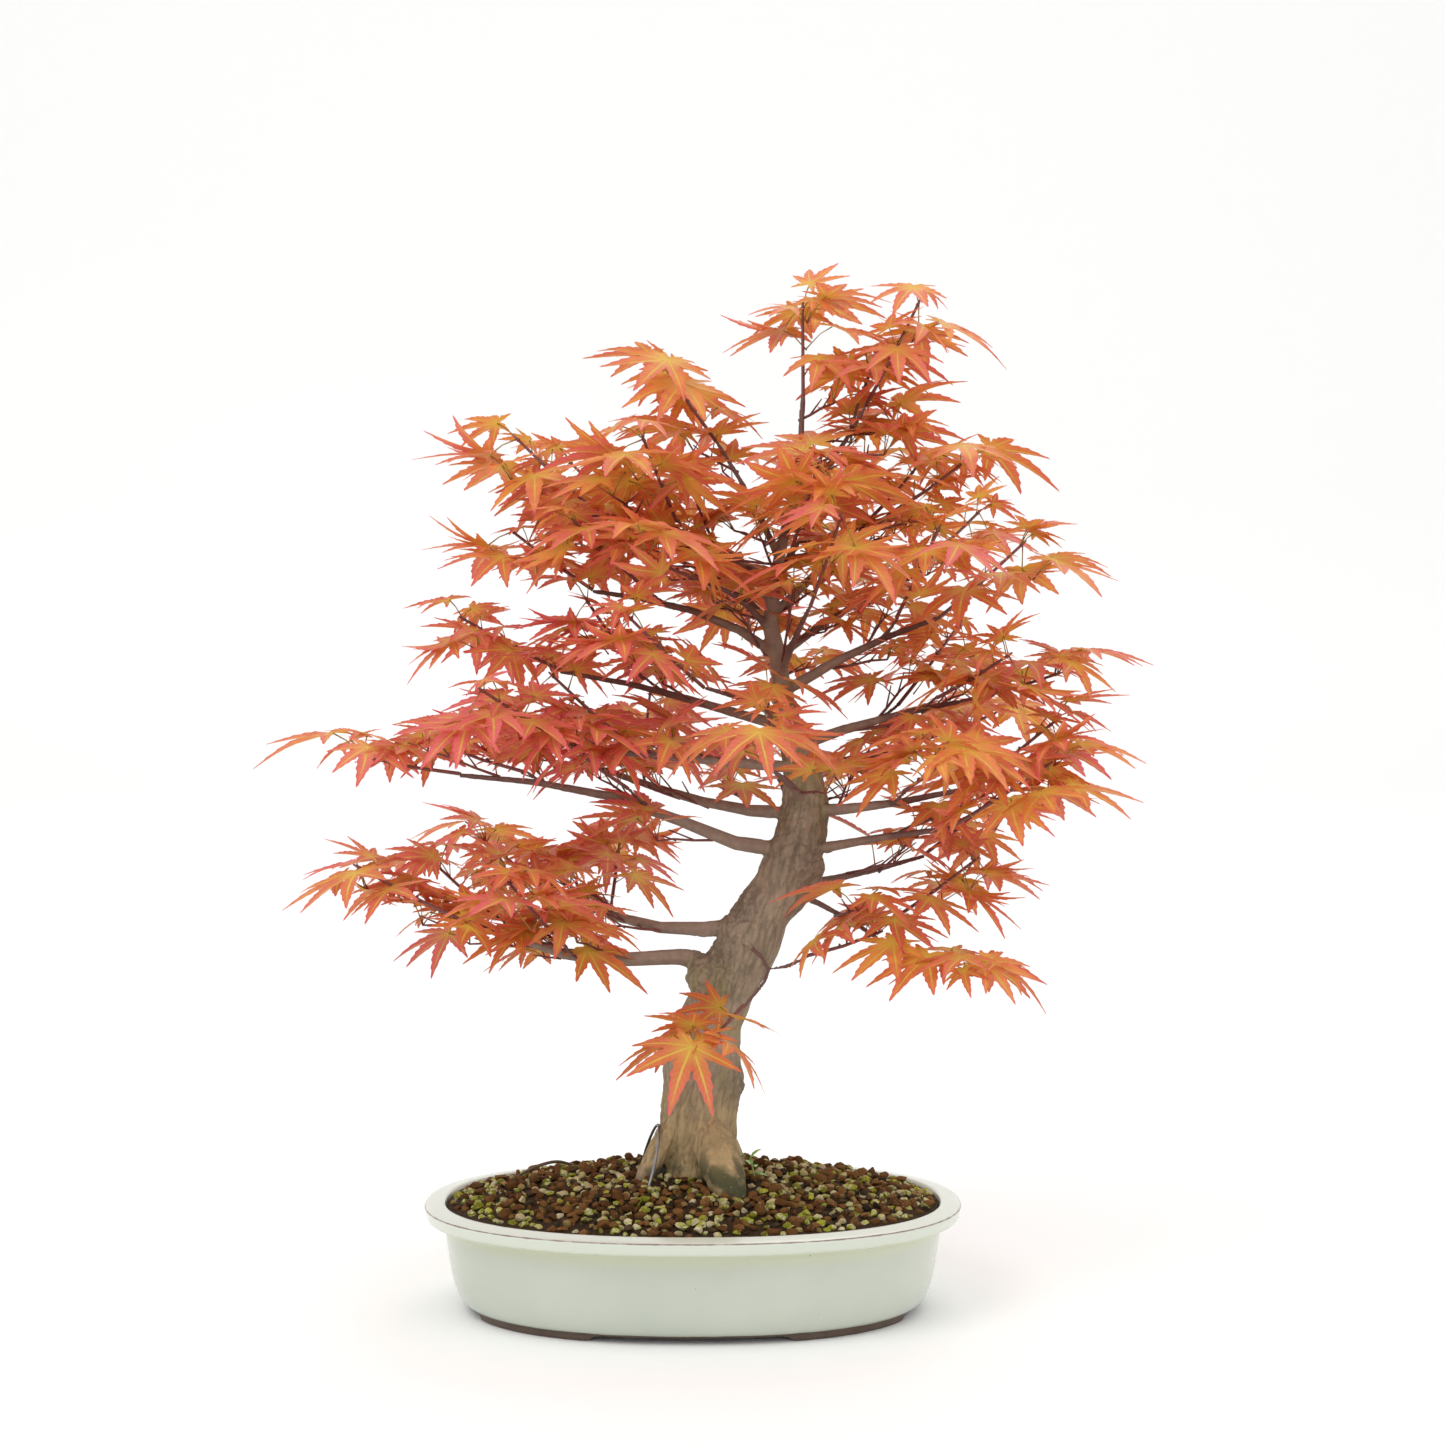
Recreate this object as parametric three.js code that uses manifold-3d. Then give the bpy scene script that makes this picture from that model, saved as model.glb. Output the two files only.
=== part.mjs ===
// A Japanese maple bonsai in spring leaf, growing in an oval glazed pot on four low feet.
// Millimetres, +Z up, +X to the right along the pot, -Y to the front. The pot's centre is the
// working origin, and the finished group is shifted so that its box is centred over the origin.
import * as THREE from "three";
import { mergeVertices } from "three/addons/utils/BufferGeometryUtils.js";
import Module from "manifold-3d";

const wasm = await Module();
wasm.setup();

// ---------- driving dimensions ----------
const GAP = 0.3; // clearance between pieces that are separate solids

// The pot: an oval between an ellipse and a rounded rectangle
const POT_LENGTH = 330;
const POT_WIDTH = 254;
const POT_HEIGHT = 66;
const OVAL_SQUARENESS = 2.25; // 2 is a true ellipse
const LIP_OUT = 12; // the lip stands out from the wall by this
const LIP_HEIGHT = 7;
const RIM_FALL = 2; // the rim's top falls this much to its outer edge
const RIM_WIDTH = 13;
const WALL_TAPER = 12; // the wall leans in by this, from the lip to the foot
const WALL = 7;
const FLOOR = 7;
const FOOT_HEIGHT = 4;
const FOOT_WIDTH = 12;
const DRAIN_RADIUS = 13;
const DRAIN_SPACING = 124;

// Drainage screens, their clips, and the wire that ties the tree down
const SCREEN_SIDE = 36;
const SCREEN_THICK = 1;
const SCREEN_CELLS = 3;
const SCREEN_BAR = 2.2;
const CLIP_WIRE = 0.6; // radius
const TIE_WIRE = 0.8; // radius
const TIE_HOLE = 2.4; // radius of the two wire holes in the floor

// The soil bed
const SOIL_MOUND = 19; // height of the mound over the rim
const SOIL_ROUGH = 1.6;

// The leaves
const LEAF_LENGTH = 44; // from the leaf's base to the tip of its middle lobe
const LEAF_THICK = 1.2;
const PETIOLE_LENGTH = 20;
const PETIOLE_RADIUS = 0.6;
const PETIOLE_RISE = 50; // degrees between the petiole and the blade
const TWIG_LENGTH = 58;
const TWIG_RADIUS = 1.1;

// ---------- helpers ----------
const rad = THREE.MathUtils.degToRad;
const vec = (x, y, z) => new THREE.Vector3(x, y, z);
const mix = (a, b, t) => a + (b - a) * t;

// Numbers from 0 to 1 in a fixed order, so that every build grows the same tree.
function dice(seed) {
  let state = seed >>> 0;
  return () => {
    state = (Math.imul(state, 1664525) + 1013904223) >>> 0;
    return state / 4294967296;
  };
}

// A closed geometry as a solid for the cuts and joins.
function solidOf(geometry) {
  const bare = geometry.clone();
  bare.deleteAttribute("normal");
  bare.deleteAttribute("uv");
  const merged = mergeVertices(bare, 1e-4);
  const corners = [];
  for (let i = 0; i < merged.index.count; i += 3) {
    const [a, b, c] = [0, 1, 2].map((k) => merged.index.getX(i + k));
    if (a !== b && b !== c && c !== a) corners.push(a, b, c);
  }
  const make = (triVerts) =>
    new wasm.Manifold(
      new wasm.Mesh({ numProp: 3, vertProperties: merged.attributes.position.array, triVerts }),
    );
  const made = make(new Uint32Array(corners));
  return made.volume() > 0 ? made : make(new Uint32Array(corners.reverse()));
}

// A solid as a three.js geometry.
function geometryOf(solid) {
  const mesh = solid.getMesh();
  const places = new Float32Array(mesh.numVert * 3);
  for (let i = 0; i < mesh.numVert; i++) {
    for (let k = 0; k < 3; k++) places[3 * i + k] = mesh.vertProperties[mesh.numProp * i + k];
  }
  const made = new THREE.BufferGeometry();
  made.setAttribute("position", new THREE.BufferAttribute(places, 3));
  made.setIndex(new THREE.BufferAttribute(new Uint32Array(mesh.triVerts), 1));
  made.computeVertexNormals();
  return made;
}

function cylinder(radius, height, x, y, z, sides = 20) {
  const made = new THREE.CylinderGeometry(radius, radius, height, sides);
  return solidOf(made.rotateX(Math.PI / 2).translate(x, y, z));
}

function box(lengthX, lengthY, lengthZ, x, y, z) {
  return solidOf(new THREE.BoxGeometry(lengthX, lengthY, lengthZ).translate(x, y, z));
}

// A round limb that tapers along a smooth curve. flute(turn, t) swells its section.
function limb(points, radii, sides, steps, flute = () => 1) {
  const curve = new THREE.CatmullRomCurve3(points, false, "centripetal");
  const places = [];
  const faces = [];
  let across = vec(0, 1, 0);
  for (let i = 0; i <= steps; i++) {
    const t = i / steps;
    const centre = curve.getPoint(t);
    const along = curve.getTangent(t);
    across = across.clone().addScaledVector(along, -across.dot(along)).normalize();
    if (across.lengthSq() < 0.5) across = vec(1, 0, 0).cross(along).normalize();
    const other = along.clone().cross(across);
    const at = t * (radii.length - 1);
    const low = Math.min(Math.floor(at), radii.length - 2);
    const radius = mix(radii[low], radii[low + 1], at - low);
    for (let k = 0; k < sides; k++) {
      const turn = (k / sides) * 2 * Math.PI;
      const reach = radius * flute(turn, t);
      const p = centre.clone();
      p.addScaledVector(across, reach * Math.cos(turn)).addScaledVector(other, reach * Math.sin(turn));
      places.push(p.x, p.y, p.z);
    }
  }
  const at = (i, k) => i * sides + (k % sides);
  for (let i = 0; i < steps; i++) {
    for (let k = 0; k < sides; k++) {
      faces.push(at(i, k), at(i, k + 1), at(i + 1, k));
      faces.push(at(i, k + 1), at(i + 1, k + 1), at(i + 1, k));
    }
  }
  for (let k = 1; k < sides - 1; k++) {
    faces.push(at(0, 0), at(0, k + 1), at(0, k));
    faces.push(at(steps, 0), at(steps, k), at(steps, k + 1));
  }
  const made = new THREE.BufferGeometry();
  made.setAttribute("position", new THREE.Float32BufferAttribute(places, 3));
  made.setIndex(faces);
  return solidOf(made);
}

// ---------- the pot ----------
// A point of the oval whose half-length is reach. Ovals keep the same distance apart all round,
// except near the middle of the floor, where they shrink evenly to a point.
const HALF_LENGTH = POT_LENGTH / 2;
const NARROWING = (POT_LENGTH - POT_WIDTH) / 2;
const OVAL_CORE = POT_LENGTH / 4;
function ovalPoint(reach, turn) {
  const halfWidth = reach - NARROWING * Math.min(1, reach / OVAL_CORE);
  const power = 2 / OVAL_SQUARENESS;
  const round = (v) => Math.sign(v) * Math.abs(v) ** power;
  return [reach * round(Math.cos(turn)), halfWidth * round(Math.sin(turn))];
}

// A profile of [half-length, height] points, carried round the oval.
function ovalSolid(profile, segments, height = (x, y, z) => z) {
  const lathe = new THREE.LatheGeometry(profile.map(([r, z]) => new THREE.Vector2(r, z)), segments);
  const place = lathe.attributes.position;
  for (let i = 0; i < place.count; i++) {
    const [a, z, b] = [place.getX(i), place.getY(i), place.getZ(i)];
    const reach = Math.hypot(a, b);
    const [x, y] = reach < 1e-6 ? [0, 0] : ovalPoint(reach, Math.atan2(b, a));
    place.setXYZ(i, x, y, height(x, y, z));
  }
  return solidOf(lathe);
}

const RIM_OUT = HALF_LENGTH;
const WALL_TOP = HALF_LENGTH - LIP_OUT;
const WALL_FOOT = WALL_TOP - WALL_TAPER;
const RIM_IN = HALF_LENGTH - RIM_WIDTH;
const ARRIS = POT_HEIGHT - RIM_FALL; // the rim's outer edge
const LIP_FOOT = ARRIS - LIP_HEIGHT;
const FLOOR_TOP = FOOT_HEIGHT + FLOOR;
const MID_WALL = mix(FOOT_HEIGHT, LIP_FOOT, 0.35);

// The inner face of the pot, from the rim to the middle of the floor, moved in by clearance.
function innerFace(clearance) {
  return [
    [RIM_IN - clearance, POT_HEIGHT - 2.5],
    [WALL_TOP - WALL - clearance, LIP_FOOT - 4],
    [WALL_FOOT - WALL + 6 - clearance, MID_WALL],
    [WALL_FOOT - WALL - 3 - clearance, FLOOR_TOP + 3 + clearance],
    [WALL_FOOT - WALL - 10 - clearance, FLOOR_TOP + clearance],
    [0, FLOOR_TOP + clearance],
  ];
}

const POT_SEGMENTS = 32;
const drainPlaces = [-DRAIN_SPACING / 2, DRAIN_SPACING / 2];
const tieHoles = [vec(-46, -46, 0), vec(-30, 44, 0)];

function makePot() {
  const profile = [
    [0, FOOT_HEIGHT],
    [WALL_FOOT - 5, FOOT_HEIGHT],
    [WALL_FOOT - 1, FOOT_HEIGHT + 1.2],
    [WALL_FOOT + 3, FOOT_HEIGHT + 6],
    [WALL_FOOT + 8, MID_WALL],
    [WALL_TOP, LIP_FOOT - 1.5],
    [WALL_TOP + 1.5, LIP_FOOT],
    [RIM_OUT - 2.4, LIP_FOOT + 0.4],
    [RIM_OUT - 0.6, LIP_FOOT + 2],
    [RIM_OUT, ARRIS],
    [RIM_IN + 1.2, POT_HEIGHT],
    [RIM_IN, POT_HEIGHT - 0.8],
    ...innerFace(0),
  ];
  let pot = ovalSolid(profile, POT_SEGMENTS);
  // Each foot is a low arc under one corner of the oval.
  const [footFrom, footTo, footSteps] = [rad(26), rad(68), 6];
  for (const corner of [0, 1, 2, 3]) {
    const turns = Array.from({ length: footSteps + 1 }, (_, i) => mix(footFrom, footTo, i / footSteps));
    const side = corner % 2 ? -1 : 1;
    const end = corner < 2 ? 1 : -1;
    const at = (reach, turn) => {
      const [x, y] = ovalPoint(reach, turn);
      return new THREE.Vector2(end * x, side * y);
    };
    const outline = [
      ...turns.map((turn) => at(WALL_FOOT - 4, turn)),
      ...turns.reverse().map((turn) => at(WALL_FOOT - 4 - FOOT_WIDTH, turn)),
    ];
    const foot = new THREE.ExtrudeGeometry(new THREE.Shape(outline), {
      depth: FOOT_HEIGHT + 1,
      bevelEnabled: false,
    });
    pot = pot.add(solidOf(foot));
  }
  for (const x of drainPlaces) pot = pot.subtract(cylinder(DRAIN_RADIUS, 4 * FLOOR, x, 0, FLOOR_TOP));
  for (const hole of tieHoles) pot = pot.subtract(cylinder(TIE_HOLE, 4 * FLOOR, hole.x, hole.y, FLOOR_TOP, 10));
  return pot;
}

// ---------- drainage screens, clips and the tie-down wire ----------
function makeScreen(x, grow = 0) {
  const middle = FLOOR_TOP + GAP + SCREEN_THICK / 2;
  let screen = box(SCREEN_SIDE + 2 * grow, SCREEN_SIDE + 2 * grow, SCREEN_THICK + 2 * grow, x, 0, middle);
  if (grow) return screen;
  const pitch = (SCREEN_SIDE - SCREEN_BAR) / SCREEN_CELLS;
  for (let i = 0; i < SCREEN_CELLS; i++) {
    for (let j = 0; j < SCREEN_CELLS; j++) {
      const cx = x + (i - (SCREEN_CELLS - 1) / 2) * pitch;
      const cy = (j - (SCREEN_CELLS - 1) / 2) * pitch;
      screen = screen.subtract(box(pitch - SCREEN_BAR, pitch - SCREEN_BAR, 3 * SCREEN_THICK, cx, cy, middle));
    }
  }
  return screen;
}

// A staple over the screen: its legs go down through the drain hole and turn out under the floor.
function makeClip(x, grow = 0) {
  const pitch = (SCREEN_SIDE - SCREEN_BAR) / SCREEN_CELLS;
  // Each leg goes through the cell beside the middle one, and stays inside the hole.
  const leg = Math.min(pitch, DRAIN_RADIUS - CLIP_WIRE - GAP);
  const top = FLOOR_TOP + 2 * GAP + SCREEN_THICK + CLIP_WIRE;
  const under = FOOT_HEIGHT - GAP - CLIP_WIRE;
  const points = [
    vec(x - DRAIN_RADIUS - 6, 0, under),
    vec(x - leg - 1.2, 0, under),
    vec(x - leg, 0, under + 1.2),
    vec(x - leg, 0, top - 0.8),
    vec(x - leg + 0.8, 0, top),
    vec(x + leg - 0.8, 0, top),
    vec(x + leg, 0, top - 0.8),
    vec(x + leg, 0, under + 1.2),
    vec(x + leg + 1.2, 0, under),
    vec(x + DRAIN_RADIUS + 6, 0, under),
  ];
  return limb(points, [CLIP_WIRE + grow, CLIP_WIRE + grow], 5, 14);
}

// One wire from under the pot, up through the soil, over the crotch of the left root, and down
// behind it to the second hole.
function makeTieWire(grow = 0) {
  const under = FOOT_HEIGHT - GAP - TIE_WIRE;
  const [front, back] = tieHoles;
  const points = [
    vec(front.x - 14, front.y, under),
    vec(front.x - 2, front.y, under),
    vec(front.x, front.y, FLOOR_TOP),
    ...[[-35, -45, -37], [-28, -42, -11], [-22, -31, 10], [-20.5, -15.5, 29], [-27, 5, 16], [-33, 20, -8]].map(planted),
    vec(back.x, back.y, FLOOR_TOP + 8),
    vec(back.x, back.y, FLOOR_TOP),
    vec(back.x - 2, back.y, under),
    vec(back.x - 14, back.y, under),
  ];
  return limb(points, [TIE_WIRE + grow, TIE_WIRE + grow], 5, 24);
}

// ---------- the wood: roots, trunk and branches ----------
// Heights in these tables are above the top of the soil's mound.
const SEAT = POT_HEIGHT + SOIL_MOUND;
const planted = ([x, y, z]) => vec(x, y, z + SEAT);

// Trunk stations from the buried foot to the tip of the leader: place and radius.
const trunkStations = [
  [[4, 2, -29], 25],
  [[4, 1, -5], 26],
  [[3, 0, 13], 24],
  [[4, 0, 53], 24.5],
  [[7, 0, 76], 22.5],
  [[14, 0, 99], 18],
  [[24, 0, 119], 19.5],
  [[34, -1, 136], 20],
  [[43, -2, 156], 17.6],
  [[55, -2, 172], 17.8],
  [[64, -2, 193], 18],
  [[69, 0, 215], 15.5],
  [[69, 2, 236], 13],
  [[63, 3, 259], 9.4],
  [[55, 3, 291], 6.6],
  [[52, 1, 316], 5.6],
  [[47, -2, 339], 5],
  [[51, -3, 367], 3.8],
  [[60, -2, 404], 3],
  [[66, 0, 442], 2.2],
  [[68, 2, 476], 1.5],
];
const trunkPoints = trunkStations.map(([p]) => planted(p));
const trunkRadii = trunkStations.map(([, r]) => r);

// Surface roots, from inside the trunk to the tip under the soil: places and radii.
const roots = [
  { points: [[8, -8, 33], [14, -24, 15], [20, -38, -1], [26, -50, -17], [30, -58, -29]], radii: [10, 14, 12, 8, 4] },
  { points: [[-8, -8, 33], [-18, -14, 17], [-26, -16, 3], [-34, -18, -15], [-40, -20, -27]], radii: [6, 8, 7, 5, 3] },
  { points: [[10, 8, 27], [20, 14, 11], [29, 20, -7], [37, 26, -23]], radii: [8, 8.5, 6, 3.5] },
  { points: [[-6, 10, 27], [-18, 24, 9], [-28, 36, -9], [-34, 44, -23]], radii: [9, 10, 7, 3.5] },
  { points: [[8, 12, 25], [14, 28, 7], [20, 42, -11], [24, 50, -23]], radii: [9, 10, 7, 3.5] },
];

// Burls and pruning scars on the trunk: centre and half-sizes.
const burls = [
  [[14, -9, 117], [19, 14, 16]],
  [[32, -7, 144], [17, 14, 16]],
  [[66, -8, 185], [16, 13, 15]],
  [[24.5, 0, 51], [6, 8, 10]],
  [[68, 2, 213], [15, 12, 9]],
  [[-15, 2, 37], [6, 9, 8]],
];

// Branches: the route from inside the trunk to the tip, the radius at the base and at the tip,
// and the side shoots, each at a share of the route and turned out from it by degrees.
const branches = [
  // on the left, from the lowest up
  { route: [[16, 0, 123], [-14, -8, 131], [-62, -20, 129], [-104, -32, 144], [-136, -40, 154]], base: 7, tip: 2, shoots: [[0.52, 48], [0.74, -62]] },
  { route: [[34, -4, 148], [0, -6, 147], [-34, 16, 148], [-72, 46, 160], [-98, 66, 172]], base: 6, tip: 1.8, shoots: [[0.62, -52]] },
  { route: [[60, -2, 195], [18, -8, 202], [-26, -12, 222], [-84, -18, 236], [-142, -20, 242]], base: 6, tip: 1.5, shoots: [[0.5, 52], [0.76, -48]] },
  { route: [[66, 2, 218], [28, 10, 220], [-8, 28, 228], [-48, 54, 240], [-78, 74, 250]], base: 5, tip: 1.6, shoots: [[0.64, -50]] },
  { route: [[66, -2, 246], [22, -16, 250], [-20, -40, 254], [-70, -62, 259]], base: 4.4, tip: 1.5, shoots: [[0.6, -52]] },
  { route: [[60, 4, 271], [22, 8, 281], [-26, 18, 295], [-84, 26, 306]], base: 4.4, tip: 1.5, shoots: [[0.58, 54]] },
  { route: [[54, 2, 314], [20, 4, 336], [-24, 2, 349], [-62, -2, 355]], base: 4, tip: 1.5, shoots: [[0.6, 50]] },
  { route: [[49, -2, 345], [34, -6, 373], [-14, -14, 391], [-60, -20, 404]], base: 3.8, tip: 1.6, shoots: [[0.56, 52], [0.78, -62]] },
  { route: [[52, 2, 330], [22, 24, 361], [-22, 52, 382]], base: 3.2, tip: 1.4, shoots: [] },
  { route: [[53, -3, 375], [36, 4, 412], [14, 8, 449]], base: 2.8, tip: 1.3, shoots: [] },
  // on the right, from the top down
  { route: [[61, -2, 404], [86, -10, 435], [106, -14, 468]], base: 2.6, tip: 1.3, shoots: [[0.7, 60]] },
  { route: [[50, 0, 341], [88, -6, 377], [124, -14, 404]], base: 3.6, tip: 1.4, shoots: [[0.6, 55]] },
  { route: [[52, 2, 314], [92, 30, 343], [132, 52, 363]], base: 3.4, tip: 1.4, shoots: [] },
  { route: [[56, 2, 293], [104, -10, 320], [150, -18, 338]], base: 4.2, tip: 1.5, shoots: [[0.6, -50]] },
  { route: [[63, 2, 259], [110, -8, 275], [164, -14, 287]], base: 4.4, tip: 1.5, shoots: [[0.5, 50], [0.74, -52]] },
  { route: [[68, 4, 242], [106, 36, 252], [150, 62, 263]], base: 4.2, tip: 1.5, shoots: [] },
  { route: [[70, -2, 220], [106, -12, 222], [166, -28, 234]], base: 5, tip: 1.6, shoots: [[0.62, -54]] },
  { route: [[66, -4, 193], [96, -18, 201], [156, -42, 211]], base: 4.8, tip: 1.6, shoots: [[0.66, 48]] },
  { route: [[56, 2, 172], [104, 22, 179], [146, 40, 189]], base: 3.6, tip: 1.4, shoots: [] },
  { route: [[56, -4, 172], [88, -14, 158], [120, -28, 138]], base: 2.6, tip: 1.3, shoots: [[0.7, 50]] },
  // towards the front
  { route: [[68, -4, 226], [58, -44, 238], [48, -74, 246]], base: 3.6, tip: 1.4, shoots: [] },
  { route: [[61, 0, 273], [34, -34, 287], [8, -60, 295]], base: 3.2, tip: 1.4, shoots: [] },
  { route: [[54, -2, 304], [64, -36, 330], [70, -62, 343]], base: 3, tip: 1.4, shoots: [] },
  { route: [[49, -2, 347], [56, -28, 370], [60, -48, 380]], base: 2.6, tip: 1.3, shoots: [] },
  { route: [[48, 0, 330], [28, -30, 350], [6, -54, 358]], base: 2.8, tip: 1.3, shoots: [] },
  // towards the back
  { route: [[66, 4, 209], [60, 50, 226], [54, 88, 238]], base: 4, tip: 1.4, shoots: [] },
  { route: [[56, 4, 293], [46, 46, 318], [36, 78, 330]], base: 3.2, tip: 1.4, shoots: [] },
  { route: [[50, 0, 353], [62, 30, 380], [72, 52, 398]], base: 2.6, tip: 1.3, shoots: [] },
  // the low twig in front of the trunk
  { route: [[24, -14, 146], [46, -34, 125], [31, -48, 104]], base: 1.7, tip: 1.2, shoots: [[0.5, 105]] },
];

const SHOOT_LENGTH = 26;
const up = vec(0, 0, 1);

// Every shoot that ends in a leafy twig: the tips of the trunk and the branches, and side shoots.
const trunkTip = trunkPoints.at(-1);
const shoots = [{ from: trunkTip, along: trunkTip.clone().sub(trunkPoints.at(-2)).normalize() }];
const limbs = [];
for (const branch of branches) {
  const points = branch.route.map(planted);
  const curve = new THREE.CatmullRomCurve3(points, false, "centripetal");
  const radii = points.map((_, i) => mix(branch.base, branch.tip, (i / (points.length - 1)) ** 0.8));
  limbs.push({ points, radii, sides: branch.base > 4 ? 6 : 5, steps: branch.base < 2 ? 6 : points.length });
  shoots.push({ from: curve.getPoint(1), along: curve.getTangent(1) });
  for (const [share, turn] of branch.shoots) {
    const start = curve.getPoint(share);
    const out = curve.getTangent(share).applyAxisAngle(up, rad(turn));
    out.z = Math.max(out.z, 0) + 0.16;
    out.normalize();
    const end = start.clone().addScaledVector(out, SHOOT_LENGTH);
    const base = mix(branch.base, branch.tip, share) * 0.6;
    limbs.push({ points: [start, start.clone().lerp(end, 0.5).add(vec(0, 0, -1.5)), end], radii: [base, 1.5, 1.25], sides: 4, steps: 2 });
    shoots.push({ from: end, along: out });
  }
}

const flare = (turn, t) => 1 + 0.05 * Math.sin(3 * turn + 9 * t) + 0.035 * Math.sin(5 * turn - 14 * t + 1);

// The foot of the tree with its roots. The soil is cut around the same shape, grown a little.
function makeRootBase(grow) {
  const foot = trunkRadii.slice(0, 5).map((r) => r + grow);
  const low = trunkPoints.slice(0, 5);
  low[0] = low[0].clone().add(vec(0, 0, -grow));
  let base = limb(low, foot, 14, 6, flare);
  for (const { points, radii } of roots) {
    const route = points.map(planted);
    const tip = route.at(-1);
    tip.addScaledVector(tip.clone().sub(route.at(-2)).normalize(), grow);
    base = base.add(limb(route, radii.map((r) => r + grow), 7, 5));
  }
  return base;
}

function makeWood() {
  let wood = makeRootBase(0).add(limb(trunkPoints.slice(3), trunkRadii.slice(3), 12, 20, flare));
  for (const [centre, halves] of burls) {
    const burl = new THREE.IcosahedronGeometry(1, 1).scale(...halves).translate(...planted(centre));
    wood = wood.add(solidOf(burl));
  }
  for (const { points, radii, sides, steps } of limbs) wood = wood.add(limb(points, radii, sides, steps));
  return wood.simplify(0.4);
}

// ---------- the soil ----------
const SOIL_EDGE = POT_HEIGHT - 2.5;
const SOIL_RINGS = 5;
function soilHeight(x, y) {
  const across = Math.hypot(x / RIM_IN, y / (RIM_IN - NARROWING));
  const mound = SOIL_MOUND * Math.max(0, 1 - across ** 1.8) + y * 0.03 * (1 - Math.min(1, across));
  const lumps = Math.sin(x * 0.11 + 1) * Math.cos(y * 0.13) + 0.6 * Math.sin(x * 0.05 - y * 0.09);
  return SOIL_EDGE + mound + SOIL_ROUGH * lumps * Math.max(0, 1 - across);
}

function makeSoil() {
  const edge = innerFace(GAP);
  const top = Array.from({ length: SOIL_RINGS + 1 }, (_, i) => [edge[0][0] * (1 - i / SOIL_RINGS), SOIL_EDGE]);
  const profile = [...edge.slice(1).reverse(), ...top];
  const lift = (x, y, z) => (z === SOIL_EDGE ? soilHeight(x, y) : z);
  let soil = ovalSolid(profile, POT_SEGMENTS, lift);
  soil = soil.subtract(makeRootBase(2 * GAP));
  for (const x of drainPlaces) {
    soil = soil.subtract(makeScreen(x, GAP)).subtract(makeClip(x, 2 * GAP));
  }
  return soil.subtract(makeTieWire(2 * GAP)).simplify(0.1);
}

// ---------- leafy twigs ----------
// The lobes of a leaf, round from the middle lobe: angle, reach as a share of the leaf's length,
// and how far its end droops. Tips and notches take turns; the last notch is at the petiole.
const lobes = [
  [0, 1, 1],
  [19, 0.4, 0.1],
  [38, 0.9, 0.9],
  [58, 0.34, 0.1],
  [78, 0.7, 0.8],
  [101, 0.24, 0.05],
  [126, 0.38, 0.3],
];
const leafRing = [
  ...lobes,
  [180, 0.07, 0],
  ...lobes.slice(1).reverse().map(([turn, reach, droop]) => [-turn, reach, droop]),
];

// A leaf blade with its petiole. base is where the lobes meet, heading runs along the middle lobe
// and normal points up out of the blade.
function makeLeaf({ base, heading, normal, length, droop }) {
  const side = normal.clone().cross(heading);
  const place = (turn, reach, height) =>
    base
      .clone()
      .addScaledVector(heading, reach * Math.cos(turn))
      .addScaledVector(side, reach * Math.sin(turn))
      .addScaledVector(normal, height);
  const points = [place(0, 0, LEAF_THICK / 2)];
  for (const [turn, reach, sag] of leafRing) {
    points.push(place(rad(turn), reach * length, -sag * droop * length));
  }
  const count = leafRing.length;
  const neck = points.length;
  for (const turn of [0, 120, 240]) points.push(place(rad(turn), PETIOLE_RADIUS, -LEAF_THICK / 2));
  for (const turn of [0, 120, 240]) {
    const foot = petioleFoot({ base, heading, normal, length });
    points.push(foot.add(place(rad(turn), PETIOLE_RADIUS, 0).sub(base)));
  }
  const faces = [];
  const corner = (k) => Math.floor(((leafRing[k % count][0] + 420) % 360) / 120) % 3;
  for (let k = 0; k < count; k++) {
    const [a, b] = [1 + k, 1 + ((k + 1) % count)];
    faces.push(0, a, b);
    const [from, to] = [corner(k), corner(k + 1)];
    faces.push(neck + from, b, a);
    if (from !== to) faces.push(neck + from, neck + to, b);
  }
  for (let k = 0; k < 3; k++) {
    const next = (k + 1) % 3;
    faces.push(neck + k, neck + 3 + k, neck + 3 + next);
    faces.push(neck + k, neck + 3 + next, neck + next);
  }
  faces.push(neck + 3, neck + 5, neck + 4);
  const made = new THREE.BufferGeometry();
  const places = points.flatMap((p) => [p.x, p.y, p.z]);
  made.setAttribute("position", new THREE.Float32BufferAttribute(places, 3));
  made.setIndex(faces);
  return solidOf(made);
}

// The petiole's foot, on the twig, for a leaf whose base is known, and the other way round.
const petioleLength = (length) => (PETIOLE_LENGTH * length) / LEAF_LENGTH;
function petioleFoot({ base, heading, normal, length }) {
  const reach = petioleLength(length);
  return base
    .clone()
    .addScaledVector(heading, -reach * Math.cos(rad(PETIOLE_RISE)))
    .addScaledVector(normal, -reach * Math.sin(rad(PETIOLE_RISE)));
}

const boxesMeet = (a, b) => [0, 1, 2].every((k) => a.min[k] < b.max[k] && b.min[k] < a.max[k]);
const taken = []; // solids that a new leaf or twig has to stay clear of
const takeUp = (solid) => taken.push({ solid, box: solid.boundingBox() });
function isClear(solid) {
  const own = solid.boundingBox();
  return taken.every(({ solid: other, box: theirs }) => !boxesMeet(own, theirs) || solid.intersect(other).volume() < 1e-6);
}

// Where leaves sit on a twig: share of its length, and how far they turn out from it.
const leafSeats = [
  [1, 12],
  [0.98, -68],
  [0.96, 76],
  [0.64, -84],
  [0.62, 88],
  [0.27, -102],
];
const LEAF_TRIES = 22;
const TWIG_TRIES = 90;

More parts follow.
